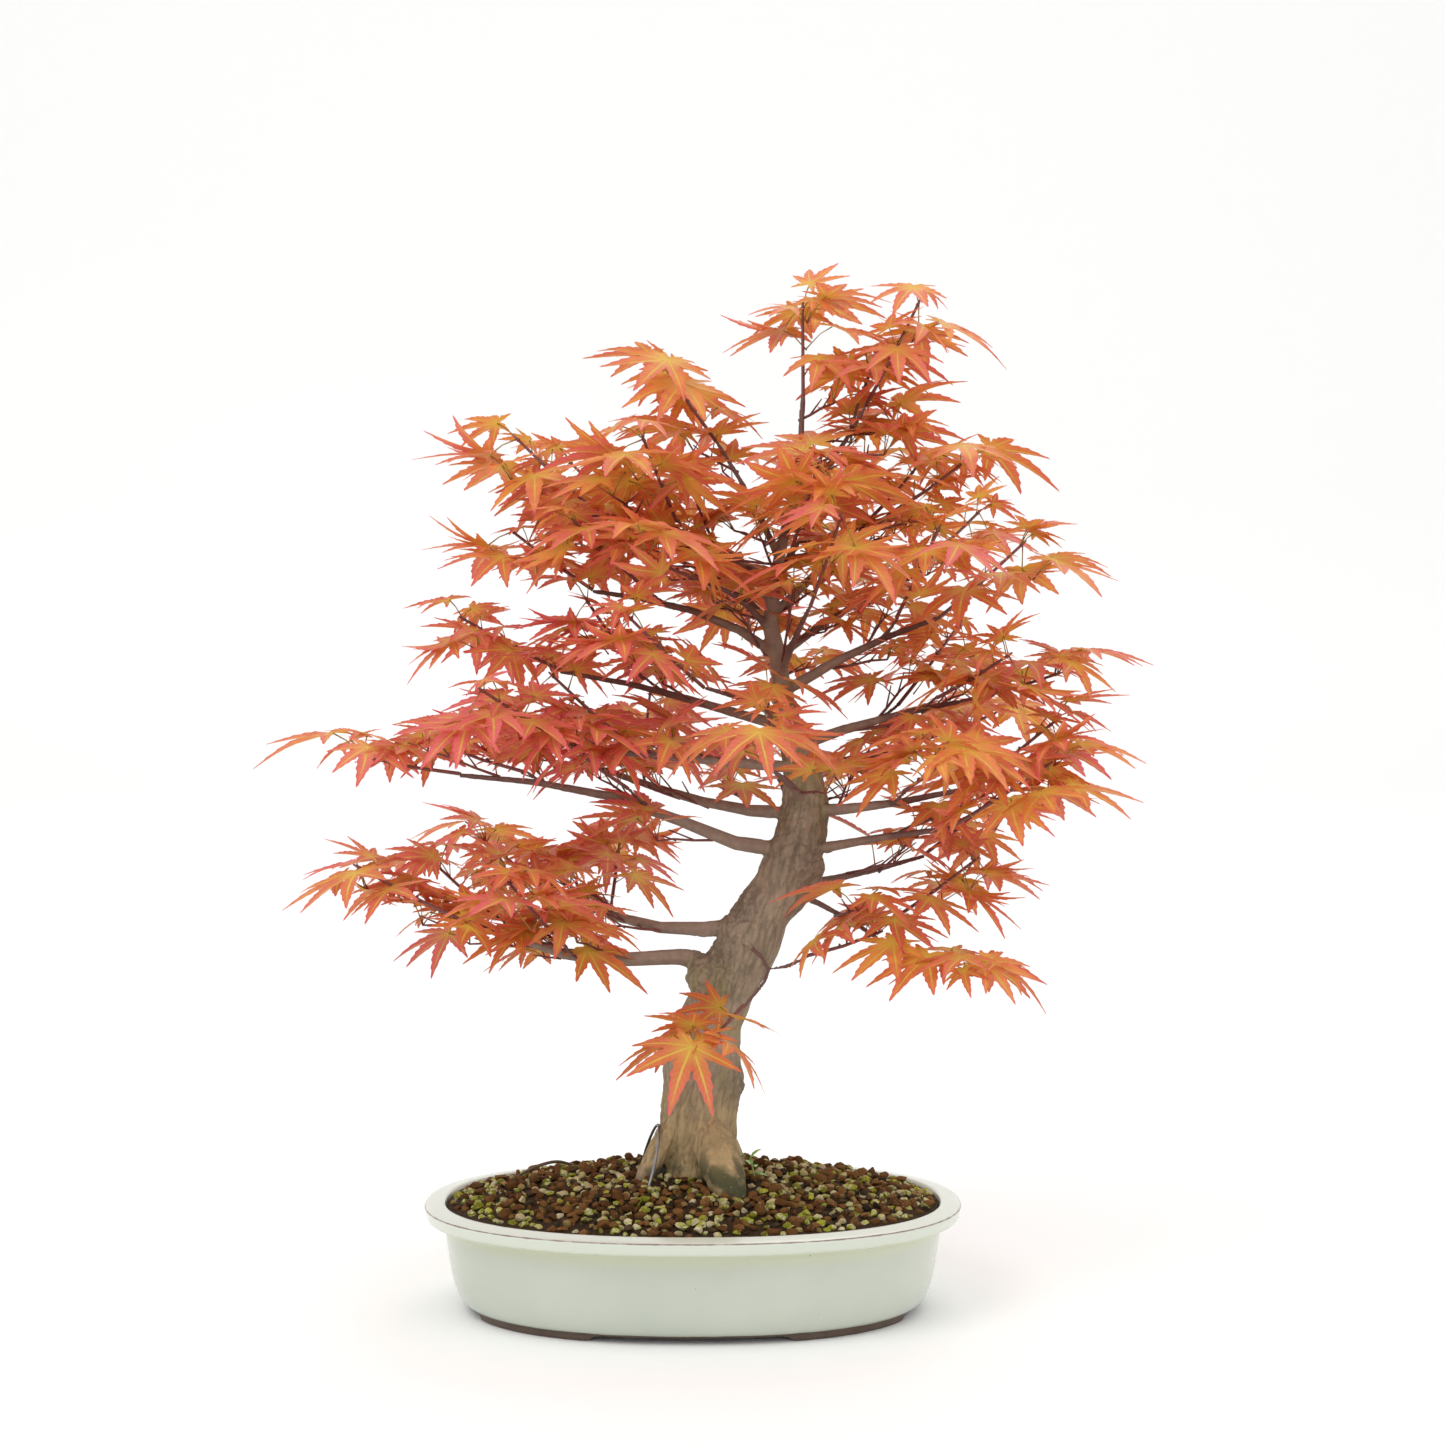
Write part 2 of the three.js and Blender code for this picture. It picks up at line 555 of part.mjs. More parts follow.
function makeSpray({ from, along }, number) {
  const roll = dice(977 * number + 31);
  const level = vec(along.x, along.y, 0).normalize();
  const out = level.multiplyScalar(Math.hypot(along.x, along.y)).add(vec(0, 0, along.z * 0.7 + 0.12)).normalize();
  const start = from.clone().addScaledVector(out, GAP + 0.1);
  let twig, end;
  for (let attempt = 0; attempt < TWIG_TRIES; attempt++) {
    const swing = rad((roll() - 0.5) * (20 + 3 * attempt));
    const lift = (roll() - 0.4) * 0.03 * attempt;
    const aim = out.clone().applyAxisAngle(up, swing).add(vec(0, 0, lift)).normalize();
    end = start.clone().addScaledVector(aim, TWIG_LENGTH * mix(0.8, 1.1, roll()) * (1 - 0.007 * attempt));
    const bend = start.clone().lerp(end, 0.5).add(vec(0, 0, -1.2));
    twig = limb([start, bend, end], [TWIG_RADIUS, TWIG_RADIUS * 0.9, TWIG_RADIUS * 0.75], 3, 2);
    if (isClear(twig)) break;
    twig = null;
  }
  if (!twig) return null;
  const curve = new THREE.CatmullRomCurve3([start, start.clone().lerp(end, 0.5).add(vec(0, 0, -1.2)), end], false, "centripetal");
  const ahead = end.clone().sub(start).setZ(0).normalize();
  takeUp(twig);
  const leaves = [];
  for (const [share, turn] of leafSeats) {
    const seat = curve.getPoint(share);
    for (let attempt = 0; attempt < LEAF_TRIES; attempt++) {
      const loose = 1 + attempt * 0.25;
      const length = LEAF_LENGTH * mix(0.82, 1.14, roll()) * (1 - 0.012 * attempt);
      const flat = ahead.clone().applyAxisAngle(up, rad(turn + (roll() - 0.5) * 26 * loose));
      const pitch = rad(mix(-4, 30, roll()) - 6 * (loose - 1) * roll());
      const bank = rad((roll() - 0.5) * 40 * loose);
      const heading = flat.clone().multiplyScalar(Math.cos(pitch)).addScaledVector(up, -Math.sin(pitch));
      const normal = heading.clone().cross(up).normalize().cross(heading).negate();
      if (normal.z < 0) normal.negate();
      normal.applyAxisAngle(heading, bank);
      const droop = mix(0.04, 0.22, roll());
      const base = seat.clone().sub(petioleFoot({ base: vec(0, 0, 0), heading, normal, length }));
      const leaf = makeLeaf({ base, heading, normal, length, droop });
      takeUpTwig(false, twig);
      if (isClear(leaf)) {
        leaves.push(leaf);
        takeUpTwig(true, twig);
        takeUp(leaf);
        break;
      }
      takeUpTwig(true, twig);
    }
  }
  return leaves.reduce((all, leaf) => all.add(leaf), twig).simplify(0.3);
}

// A leaf grows out of its own twig, so that one twig is left out while its leaves are placed.
function takeUpTwig(present, twig) {
  if (present) takeUp(twig);
  else taken.splice(taken.findIndex(({ solid }) => solid === twig), 1);
}

// ---------- the weed seedling beside the trunk ----------
function makeSeedling() {
  const foot = vec(38, -26, soilHeight(38, -26) + GAP);
  let seedling = limb([foot, foot.clone().add(vec(-1, 0, 6)), foot.clone().add(vec(-3, 1, 13))], [0.6, 0.6, 0.5], 4, 3);
  const leaves = [
    [vec(-3, 1, 12.6), 0.3, 1.1],
    [vec(-2.2, 0.6, 10), 2.9, 0.5],
    [vec(-0.6, 0, 5), -0.5, 0.1],
  ];
  for (const [at, turn, tilt] of leaves) {
    const blade = new THREE.OctahedronGeometry(1).scale(4.6, 2.2, 0.5).translate(4.2, 0, 0);
    blade.rotateY(-tilt).rotateZ(turn).translate(foot.x + at.x, foot.y + at.y, foot.z + at.z);
    seedling = seedling.add(solidOf(blade));
  }
  return seedling;
}

// ---------- the object ----------
const glaze = new THREE.MeshStandardMaterial({ color: 0xd9dfd3, roughness: 0.25, metalness: 0 });
const grit = new THREE.MeshStandardMaterial({ color: 0x4a3320, roughness: 0.95, metalness: 0 });
const bark = new THREE.MeshStandardMaterial({ color: 0x7d6a4c, roughness: 0.85, metalness: 0 });
const plastic = new THREE.MeshStandardMaterial({ color: 0x1d1f1c, roughness: 0.6, metalness: 0 });
const wire = new THREE.MeshStandardMaterial({ color: 0x8d8791, roughness: 0.45, metalness: 0.9 });
const leafRed = new THREE.MeshStandardMaterial({ color: 0xe0683c, roughness: 0.55, metalness: 0 });
const leafGreen = new THREE.MeshStandardMaterial({ color: 0x5f9a45, roughness: 0.6, metalness: 0 });

const tree = new THREE.Group();
function addNode(name, solid, material) {
  const mesh = new THREE.Mesh(geometryOf(solid), material);
  mesh.name = name;
  tree.add(mesh);
}

addNode("pot", makePot(), glaze);
addNode("soil", makeSoil(), grit);
const wood = makeWood();
addNode("trunk_and_branches", wood, bark);
drainPlaces.forEach((x, i) => {
  const side = i ? "right" : "left";
  addNode(`drain_screen_${side}`, makeScreen(x), plastic);
  addNode(`screen_clip_${side}`, makeClip(x), wire);
});
addNode("tie_down_wire", makeTieWire(), wire);
addNode("weed_seedling", makeSeedling(), leafGreen);

takeUp(wood);
const sprays = shoots.map((shoot, i) => makeSpray(shoot, i + 1)).filter((spray) => spray);
sprays.forEach((spray, i) => addNode(`leafy_twig_${String(i + 1).padStart(2, "0")}`, spray, leafRed));

const bounds = new THREE.Box3().setFromObject(tree);
const middle = bounds.getCenter(vec(0, 0, 0));
tree.position.set(-middle.x, -middle.y, 0);

const group = new THREE.Group();
group.add(tree);
export default group;
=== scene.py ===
import math
import random

import bmesh
import bpy
import numpy as np
from mathutils import Matrix, Vector, noise
from mathutils.bvhtree import BVHTree


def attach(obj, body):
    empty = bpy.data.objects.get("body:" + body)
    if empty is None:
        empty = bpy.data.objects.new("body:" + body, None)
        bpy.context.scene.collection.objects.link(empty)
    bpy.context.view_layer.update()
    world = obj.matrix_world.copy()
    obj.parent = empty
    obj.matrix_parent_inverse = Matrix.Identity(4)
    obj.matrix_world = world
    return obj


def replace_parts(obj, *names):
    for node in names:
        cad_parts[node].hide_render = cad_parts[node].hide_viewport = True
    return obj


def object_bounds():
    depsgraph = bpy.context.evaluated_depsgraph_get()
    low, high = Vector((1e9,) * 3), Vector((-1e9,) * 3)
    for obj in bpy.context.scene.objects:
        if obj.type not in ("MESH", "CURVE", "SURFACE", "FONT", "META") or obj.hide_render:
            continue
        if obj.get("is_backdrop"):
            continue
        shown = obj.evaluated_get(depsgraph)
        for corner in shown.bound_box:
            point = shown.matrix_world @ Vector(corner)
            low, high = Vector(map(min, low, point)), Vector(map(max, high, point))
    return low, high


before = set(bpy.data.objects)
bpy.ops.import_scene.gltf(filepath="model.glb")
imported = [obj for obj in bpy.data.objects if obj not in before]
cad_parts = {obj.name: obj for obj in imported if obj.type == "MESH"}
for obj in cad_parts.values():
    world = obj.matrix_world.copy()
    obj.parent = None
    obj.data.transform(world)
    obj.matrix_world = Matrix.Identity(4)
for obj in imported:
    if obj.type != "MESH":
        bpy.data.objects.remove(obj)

cad_box = [list(corner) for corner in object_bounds()]

# The stage: a plain pale floor that curves up into the background, three soft lights and the
# camera, which stands level with the middle of the tree.
scene = bpy.context.scene

floor_profile = [(-3.0, 0.0), (1.3, 0.0), (1.75, 0.05), (2.1, 0.25), (2.3, 0.7), (2.35, 3.0)]
floor_mesh = bpy.data.meshes.new("floor")
floor_points = [(x, y, z) for x in (-4.0, 4.0) for y, z in floor_profile]
floor_faces = [(k, k + 6, k + 7, k + 1) for k in range(5)]
floor_mesh.from_pydata(floor_points, [], floor_faces)
floor = bpy.data.objects.new("floor", floor_mesh)
scene.collection.objects.link(floor)
floor_paint = bpy.data.materials.new("floor")
floor_paint.use_nodes = True
floor_shader = floor_paint.node_tree.nodes["Principled BSDF"]
floor_shader.inputs["Base Color"].default_value = (0.93, 0.93, 0.92, 1)
floor_shader.inputs["Roughness"].default_value = 0.9
floor_mesh.materials.append(floor_paint)
floor_mesh.polygons.foreach_set("use_smooth", [True] * 5)
floor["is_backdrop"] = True

world = bpy.data.worlds.new("studio")
scene.world = world
world.use_nodes = True
world.node_tree.nodes["Background"].inputs["Color"].default_value = (1, 1, 1, 1)
world.node_tree.nodes["Background"].inputs["Strength"].default_value = 0.95


def area_light(name, place, aim, size, power):
    bpy.ops.object.light_add(type="AREA", location=place)
    lamp = bpy.context.object
    lamp.name = name
    lamp.data.size = size
    lamp.data.energy = power
    lamp.rotation_euler = (Vector(aim) - Vector(place)).to_track_quat("-Z", "Y").to_euler()
    lamp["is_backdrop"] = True


area_light("key", (-1.1, -1.3, 1.7), (0, 0, 0.3), 1.2, 15)
area_light("fill", (1.5, -1.2, 1.0), (0, 0, 0.3), 1.6, 6)
area_light("rim", (0.4, 1.2, 1.7), (0, 0, 0.35), 1.0, 6)

bpy.ops.object.camera_add(location=(0.0086, -1.5034, 0.3695), rotation=(math.radians(90 - 0.4), 0, 0))
camera = bpy.context.object
camera.data.lens = 60.5
camera.data.sensor_width = 36
scene.camera = camera
scene.view_settings.view_transform = "Standard"

# The pot: an oval between an ellipse and a rounded rectangle, with a flat lip, a wall that leans
# in to four low feet, two drain holes and two holes for the wire. The glaze covers all but the
# foot, and it breaks to brown where it ran thin, on the edges of the lip.
POT_MIDDLE = Vector((-0.00959, -0.00341, 0.0))
POT_REACH = 0.165
NARROWING = 0.038
SQUARENESS = 2.25
TURNS = 224


def smooth_step(low, high, value):
    t = np.clip((value - low) / (high - low), 0, 1)
    return t * t * (3 - 2 * t)


def oval(reach, turn):
    half_width = reach - NARROWING * min(1.0, reach / 0.0825)
    bend = lambda v: math.copysign(abs(v) ** (2 / SQUARENESS), v)
    return reach * bend(math.cos(turn)), half_width * bend(math.sin(turn))


# half-length, height, how far the glaze has broken to brown there, and how bare the clay is
pot_profile = [
    (0.0, 4.0, 0, 1), (60, 4.0, 0, 1), (118, 4.0, 0, 1), (124.6, 4.0, 0, 1), (125, 3.6, 0, 1), (125, 0.5, 0,
                                                                                                1),
    (125.5, 0.0, 0, 1), (131, 0.0, 0, 1), (136.3, 0.0, 0, 1), (137, 0.5, 0, 1), (137.2, 2.6, 0, 1), (137.6,
            4.2, 0, 1),
    (139.0, 5.2, 0.6, 0.5), (141.2, 6.6, 0, 0), (143.0, 8.6, 0, 0), (144.9, 12.0, 0, 0), (146.6, 16.5, 0,
            0), (148.2, 22.5, 0, 0),
    (149.6, 30, 0, 0), (150.8, 38, 0, 0), (151.9, 46, 0, 0), (152.7, 50.5, 0, 0), (153.3, 53.4, 0.05,
                                                                                   0), (154.2, 54.8, 0.1, 0),
    (156.4, 55.6, 0, 0), (159.6, 55.9, 0, 0), (161.6, 56.2, 0, 0), (162.7, 56.7, 0.25, 0), (163.3, 57.4, 0.6,
            0), (163.7, 58.2, 0.15, 0),
    (164.3, 61.4, 0, 0), (164.7, 62.6, 0, 0), (164.9, 63.4, 0.5, 0), (164.8, 63.95, 1, 0), (164.3, 64.3, 0.75,
            0), (163.5, 64.6, 0.1, 0),
    (161.5, 65.0, 0, 0), (158.0, 65.4, 0, 0), (155.0, 65.8, 0, 0), (153.6, 65.9, 0, 0), (152.7, 65.6, 0,
            0), (152.2, 64.9, 0.1, 0),
    (152.0, 63.5, 0, 0), (149.6, 58.5, 0, 0.2), (146.2, 52.0, 0, 0.8), (143.0, 40.0, 0, 1), (140.2, 26.2, 0,
            1), (134.0, 16.0, 0, 1),
    (124.0, 11.0, 0, 1), (60, 11.0, 0, 1), (0.0, 11.0, 0, 1),
]
pot_points, pot_faces, pot_break, pot_bare = [], [], [], []
for reach, height, broken, bare in pot_profile:
    for k in range(TURNS):
        turn = 2 * math.pi * k / TURNS
        x, y = oval(reach / 1000, turn)
        quarter = abs((turn % math.pi) - math.pi / 2)
        near_foot = float(smooth_step(math.radians(20), math.radians(25), np.float64(math.pi / 2 - quarter))
                          * smooth_step(math.radians(20), math.radians(25), np.float64(quarter)))
        z = height if height >= 4 or not 124 < reach < 138 else 4 - (4 - height) * (0.12 + 0.88 * near_foot)
        waver = 0.00018 * math.sin(3 * turn + reach * 0.05) if height > 5 else 0
        pot_points.append((POT_MIDDLE.x + x * (1 + waver), POT_MIDDLE.y + y * (1 + waver), z / 1000))
        pot_break.append(broken)
        pot_bare.append(bare)
for i in range(len(pot_profile) - 1):
    for k in range(TURNS):
        a, b = i * TURNS + k, i * TURNS + (k + 1) % TURNS
        pot_faces.append((a, b, b + TURNS, a + TURNS))
pot_mesh = bpy.data.meshes.new("pot_shell")
pot_mesh.from_pydata(pot_points, [], pot_faces)
for name, values in (("broken", pot_break), ("bare", pot_bare)):
    pot_mesh.attributes.new(name, "FLOAT", "POINT").data.foreach_set("value", values)
pot = bpy.data.objects.new("pot_shell", pot_mesh)
scene.collection.objects.link(pot)


def merge_and_turn_out(obj, distance):
    work = bmesh.new()
    work.from_mesh(obj.data)
    bmesh.ops.remove_doubles(work, verts=work.verts, dist=distance)
    bmesh.ops.recalc_face_normals(work, faces=work.faces)
    work.to_mesh(obj.data)
    work.free()


merge_and_turn_out(pot, 1e-6)
holes = [(x, 0.0, 0.013) for x in (-0.062, 0.062)] + [(-0.046, -0.046, 0.0024), (-0.030, 0.044, 0.0024)]
for x, y, radius in holes:
    bpy.ops.mesh.primitive_cylinder_add(vertices=40, radius=radius, depth=0.03, location=POT_MIDDLE
                                        + Vector((x, y, 0.008)))
    drill = bpy.context.object
    cut = pot.modifiers.new("hole", "BOOLEAN")
    cut.operation = "DIFFERENCE"
    cut.object = drill
    bpy.context.view_layer.objects.active = pot
    bpy.ops.object.modifier_apply(modifier=cut.name)
    bpy.data.objects.remove(drill)
pot.data.shade_smooth()
pot.data.set_sharp_from_angle(angle=math.radians(50))


class Paint:
    """A material's node tree, with short ways to add and join its nodes."""

    def __init__(self, name, tree=None):
        if tree is None:
            self.material = bpy.data.materials.new(name)
            self.material.use_nodes = True
            tree = self.material.node_tree
        self.tree = tree

    def node(self, kind, **fields):
        made = self.tree.nodes.new(kind)
        for key, value in fields.items():
            setattr(made, key, value)
        return made

    def join(self, source, target):
        self.tree.links.new(source, target)

    def attribute(self, name):
        return self.node("ShaderNodeAttribute", attribute_name=name).outputs["Fac"]

    def place(self):
        return self.node("ShaderNodeTexCoord").outputs["Object"]

    def noise(self, scale, detail=3.0, rough=0.55, stretch=None):
        made = self.node("ShaderNodeTexNoise")
        made.inputs["Scale"].default_value = scale
        made.inputs["Detail"].default_value = detail
        made.inputs["Roughness"].default_value = rough
        source = self.place()
        if stretch:
            mapping = self.node("ShaderNodeMapping")
            mapping.inputs["Scale"].default_value = stretch
            self.join(source, mapping.inputs["Vector"])
            source = mapping.outputs["Vector"]
        self.join(source, made.inputs["Vector"])
        return made.outputs["Fac"]

    def cells(self, scale, feature="F1", stretch=None):
        made = self.node("ShaderNodeTexVoronoi", feature=feature)
        made.inputs["Scale"].default_value = scale
        source = self.place()
        if stretch:
            mapping = self.node("ShaderNodeMapping")
            mapping.inputs["Scale"].default_value = stretch
            self.join(source, mapping.inputs["Vector"])
            source = mapping.outputs["Vector"]
        self.join(source, made.inputs["Vector"])
        return made.outputs

    def range(self, value, low, high, to_low=0.0, to_high=1.0):
        made = self.node("ShaderNodeMapRange", interpolation_type="SMOOTHSTEP")
        for socket, number in zip(("From Min", "From Max", "To Min", "To Max"), (low, high, to_low, to_high)):
            made.inputs[socket].default_value = number
        self.join(value, made.inputs["Value"])
        return made.outputs["Result"]

    def math(self, operation, a, b=None):
        made = self.node("ShaderNodeMath", operation=operation)
        for socket, value in zip(made.inputs, (a, b)):
            if isinstance(value, (int, float)):
                socket.default_value = value
            elif value is not None:
                self.join(value, socket)
        return made.outputs["Value"]

    def blend(self, share, a, b, kind="MIX"):
        made = self.node("ShaderNodeMix", data_type="RGBA", blend_type=kind)
        colours = [s for s in made.inputs if s.type == "RGBA"]
        for socket, value in zip(colours, (a, b)):
            if isinstance(value, tuple):
                socket.default_value = (*value, 1)
            else:
                self.join(value, socket)
        if isinstance(share, (int, float)):
            made.inputs["Factor"].default_value = share
        else:
            self.join(share, made.inputs["Factor"])
        return next(s for s in made.outputs if s.type == "RGBA")

    def bump(self, height, strength, distance):
        made = self.node("ShaderNodeBump")
        made.inputs["Strength"].default_value = strength
        made.inputs["Distance"].default_value = distance
        self.join(height, made.inputs["Height"])
        return made.outputs["Normal"]

    def finish(self, colour, rough, normal=None, **others):
        shader = self.tree.nodes["Principled BSDF"]
        for socket, value in (("Base Color", colour), ("Roughness", rough), ("Normal", normal)):
            if isinstance(value, tuple):
                shader.inputs[socket].default_value = (*value, 1)
            elif isinstance(value, (int, float)):
                shader.inputs[socket].default_value = value
            elif value is not None:
                self.join(value, shader.inputs[socket])
        for socket, value in others.items():
            shader.inputs[socket.replace("_", " ")].default_value = value
        return self.material


glaze = Paint("celadon_glaze")
mottle = glaze.noise(9, 4)
body = glaze.blend(mottle, (0.425, 0.465, 0.395), (0.575, 0.605, 0.525))
rise = glaze.node("ShaderNodeSeparateXYZ")
glaze.join(glaze.place(), rise.inputs["Vector"])
# Painted light: the glaze is painted lighter and yellower from the upper wall up, and palest on the rim top,
# where the pot faces the lamps, so the lower wall reads darker.
upper_painted_light = glaze.range(rise.outputs["Z"], 0.044, 0.054)
body = glaze.blend(upper_painted_light, body, (0.56, 0.60, 0.44))
rim_painted_light = glaze.range(rise.outputs["Z"], 0.0552, 0.059)
body = glaze.blend(rim_painted_light, body, (0.61, 0.655, 0.565))
ragged = glaze.math("ADD", glaze.attribute("broken"),
                    glaze.math("MULTIPLY", glaze.math("SUBTRACT", glaze.noise(160, 3), 0.5), 0.7))
body = glaze.blend(glaze.range(ragged, 0.5, 1.0), body, (0.215, 0.15, 0.135))
pits = glaze.cells(105)
rare = glaze.range(glaze.noise(60, 2), 0.58, 0.64)
pit = glaze.math("MULTIPLY", glaze.range(pits["Distance"], 0.07, 0.03), rare)
body = glaze.blend(pit, body, (0.16, 0.12, 0.09))
clay = glaze.blend(glaze.noise(120, 4), (0.055, 0.035, 0.024), (0.12, 0.075, 0.05))
edge = glaze.math("ADD", glaze.attribute("bare"),
                  glaze.math("MULTIPLY", glaze.math("SUBTRACT", glaze.noise(70, 3), 0.5), 0.5))
bare = glaze.range(edge, 0.35, 0.55)
body = glaze.blend(bare, body, clay)
rough = glaze.math("ADD", glaze.math("MULTIPLY", bare, 0.55), 0.24)
waves = glaze.math("ADD", glaze.noise(28, 2), glaze.math("MULTIPLY", pit, -0.6))
pot.data.materials.append(glaze.finish(body, rough, glaze.bump(waves, 0.22, 0.0012), Coat_Weight=0.4,
                                       Coat_Roughness=0.1))
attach(pot, "root")
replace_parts(pot, "pot")

# The wood: roots, trunk, branches and shoots in one skin. The plain solid is remeshed finely and
# rounded, then the burls and the bark's fissures are pushed into it, and the young wood is roughened a
# little.
def skin_of(node, name, voxel):
    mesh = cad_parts[node].data.copy()
    obj = bpy.data.objects.new(name, mesh)
    scene.collection.objects.link(obj)
    mesh.materials.clear()
    merge_and_turn_out(obj, 1e-6)
    remesh = obj.modifiers.new("skin", "REMESH")
    remesh.mode = "VOXEL"
    remesh.voxel_size = voxel
    bpy.context.view_layer.objects.active = obj
    bpy.ops.object.modifier_apply(modifier=remesh.name)
    return obj


def vertex_array(mesh, name="co"):
    out = np.empty(len(mesh.vertices) * 3)
    getattr(mesh, "vertices").foreach_get(name, out)
    return out.reshape(-1, 3)


def relax(places, edges, rounds, share):
    """Smooths without shrinking: each round moves in, then a little further back out."""
    ends = np.concatenate([edges, edges[:, ::-1]])
    count = np.bincount(ends[:, 0], minlength=len(places))[:, None]
    for k in range(2 * rounds):
        sums = np.stack([np.bincount(ends[:, 0], places[ends[:, 1], axis], len(places)) for axis in range(3)],
                        1)
        places = places + (0.5 if k % 2 == 0 else -0.52) * share * (sums / count - places)
    return places


wood = skin_of("trunk_and_branches", "wood", 0.00108)
wood_mesh = wood.data
edges = np.empty(len(wood_mesh.edges) * 2, dtype=int)
wood_mesh.edges.foreach_get("vertices", edges)
edges = edges.reshape(-1, 2)
spots = vertex_array(wood_mesh)

# How thick the limb is at each point: the way through it along the inward normal.
tree = BVHTree.FromObject(wood, bpy.context.evaluated_depsgraph_get())
normals = vertex_array(wood_mesh, "normal")
thick = np.full(len(spots), 0.004)
for i, (spot, normal) in enumerate(zip(spots, normals)):
    inward = Vector(-normal)
    hit = tree.ray_cast(Vector(spot) + inward * 0.0004, inward)
    thick[i] = hit[3] if hit[3] is not None else 0.003
for _ in range(14):
    total = np.bincount(edges[:, 0], thick[edges[:, 1]], len(spots)) + np.bincount(edges[:, 1],
            thick[edges[:, 0]], len(spots))
    thick = 0.5 * thick + 0.5 * total / np.bincount(edges.ravel(), minlength=len(spots))

stout = smooth_step(0.003, 0.014, thick)[:, None]
spots = relax(spots, edges, 70, 0.25 + 0.75 * stout)
wood_mesh.vertices.foreach_set("co", spots.ravel())
wood_mesh.update()
normals = vertex_array(wood_mesh, "normal")

burls = ((0.014, -0.008, 0.2115), (0.032, -0.006, 0.239), (0.066, -0.008, 0.279), (0.068, 0.003, 0.300),
         (0.027, 0.001, 0.142))
burl_spots = [POT_MIDDLE + Vector(spot) for spot in burls]
push = np.zeros(len(spots))
fissure = np.zeros(len(spots))
burl = np.zeros(len(spots))
for i, spot in enumerate(spots):
    p = Vector(spot)
    size = thick[i]
    if size < 0.006:
        push[i] = 0.00022 * noise.noise(p * 260)
        continue
    near = max(max(0.0, 1 - (p - b).length / 0.026) for b in burl_spots)
    old = min(1.0, (size - 0.006) / 0.016)
    along = Vector((p.x * 260 - p.z * 60, p.y * 260, p.z * 58))
    ridged = 1 - abs(noise.noise(along)) * 2.2
    fine = 1 - abs(noise.noise(along * 2.3 + Vector((5, 1, 2)))) * 2.2
    cracks = noise.voronoi(p * 190)[0]
    crack = max(0.0, 1 - (cracks[1] - cracks[0]) * 6)
    lumps = noise.noise(p * 34) * 0.0018 + noise.noise(p * 85) * 0.0008
    smooth_patch = max(0.0, noise.noise(p * 16 + Vector((3, 0, 0))) * 2)
    depth = max(0.0, ridged) ** 3 * 0.00055 + max(0.0, fine) ** 3 * 0.0004
    depth *= (1 - 0.75 * min(1.0, smooth_patch)) * (1.15 if p.z < 0.15 else 0.8)
    push[i] = old * (lumps - depth) + near * (0.0016 - crack * 0.0022 + noise.noise(p * 120) * 0.0012)
    fissure[i] = min(1.0, old * (max(0.0, ridged) ** 3
                                 + 0.6 * max(0.0,
                                             fine) ** 3) * (1 - 0.7 * min(1.0, smooth_patch)) + near * crack)
    burl[i] = min(1.0, near * 1.6)
spots = spots + normals * push[:, None]
wood_mesh.vertices.foreach_set("co", spots.ravel())
wood_mesh.shade_smooth()
for name, values in (("thick", thick), ("fissure", fissure), ("burl", burl)):
    wood_mesh.attributes.new(name, "FLOAT", "POINT").data.foreach_set("value", values)

bark = Paint("maple_bark")
height = bark.node("ShaderNodeSeparateXYZ")
bark.join(bark.place(), height.inputs["Vector"])
patch = bark.noise(17, 5, 0.6)
grain = bark.noise(240, 4, 0.65, (1, 1, 0.2))
grey = bark.blend(grain, (0.205, 0.150, 0.098), (0.47, 0.365, 0.25))
olive = bark.blend(grain, (0.175, 0.150, 0.055), (0.38, 0.325, 0.14))
ochre = bark.blend(grain, (0.275, 0.190, 0.085), (0.60, 0.44, 0.225))
old = bark.blend(bark.range(patch, 0.5, 0.66), grey, olive)
low = bark.range(height.outputs["Z"], 0.15, 0.105)
old = bark.blend(low, old, ochre)
moss_spot = bark.math("MULTIPLY", bark.range(height.outputs["Z"], 0.118, 0.082),
                      bark.range(bark.noise(48, 4), 0.42, 0.6))
old = bark.blend(moss_spot, old, (0.06, 0.062, 0.018))
old = bark.blend(bark.math("MULTIPLY", bark.attribute("burl"), 0.7), old,
                 bark.blend(grain, (0.14, 0.100, 0.068), (0.33, 0.25, 0.175)))
# The fissures and the cracks in the burls are painted dark: darker bark in them, and painted shade in the
# cracks.
old = bark.blend(bark.math("MULTIPLY", bark.attribute("fissure"), 0.45), old, (0.050, 0.036, 0.024))
flecks = bark.range(bark.noise(420, 2), 0.66, 0.74)
old = bark.blend(bark.math("MULTIPLY", flecks, 0.5), old, (0.42, 0.38, 0.30))
twiggy = bark.blend(bark.noise(300, 3), (0.085, 0.036, 0.032), (0.21, 0.115, 0.095))
middling = bark.blend(bark.noise(200, 4), (0.17, 0.115, 0.085), (0.36, 0.265, 0.20))
young = bark.range(bark.attribute("thick"), 0.0055, 0.0032)
mid = bark.range(bark.attribute("thick"), 0.0145, 0.0085)
tone = bark.blend(mid, old, middling)
tone = bark.blend(young, tone, twiggy)
relief = bark.math("ADD", bark.noise(300, 5, 0.7, (1, 1, 0.25)),
                   bark.math("MULTIPLY", bark.noise(900, 3), 0.35))
wood_mesh.materials.append(bark.finish(tone, 0.78, bark.bump(relief, 0.75, 0.0011)))
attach(wood, "root")
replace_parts(wood, "trunk_and_branches")

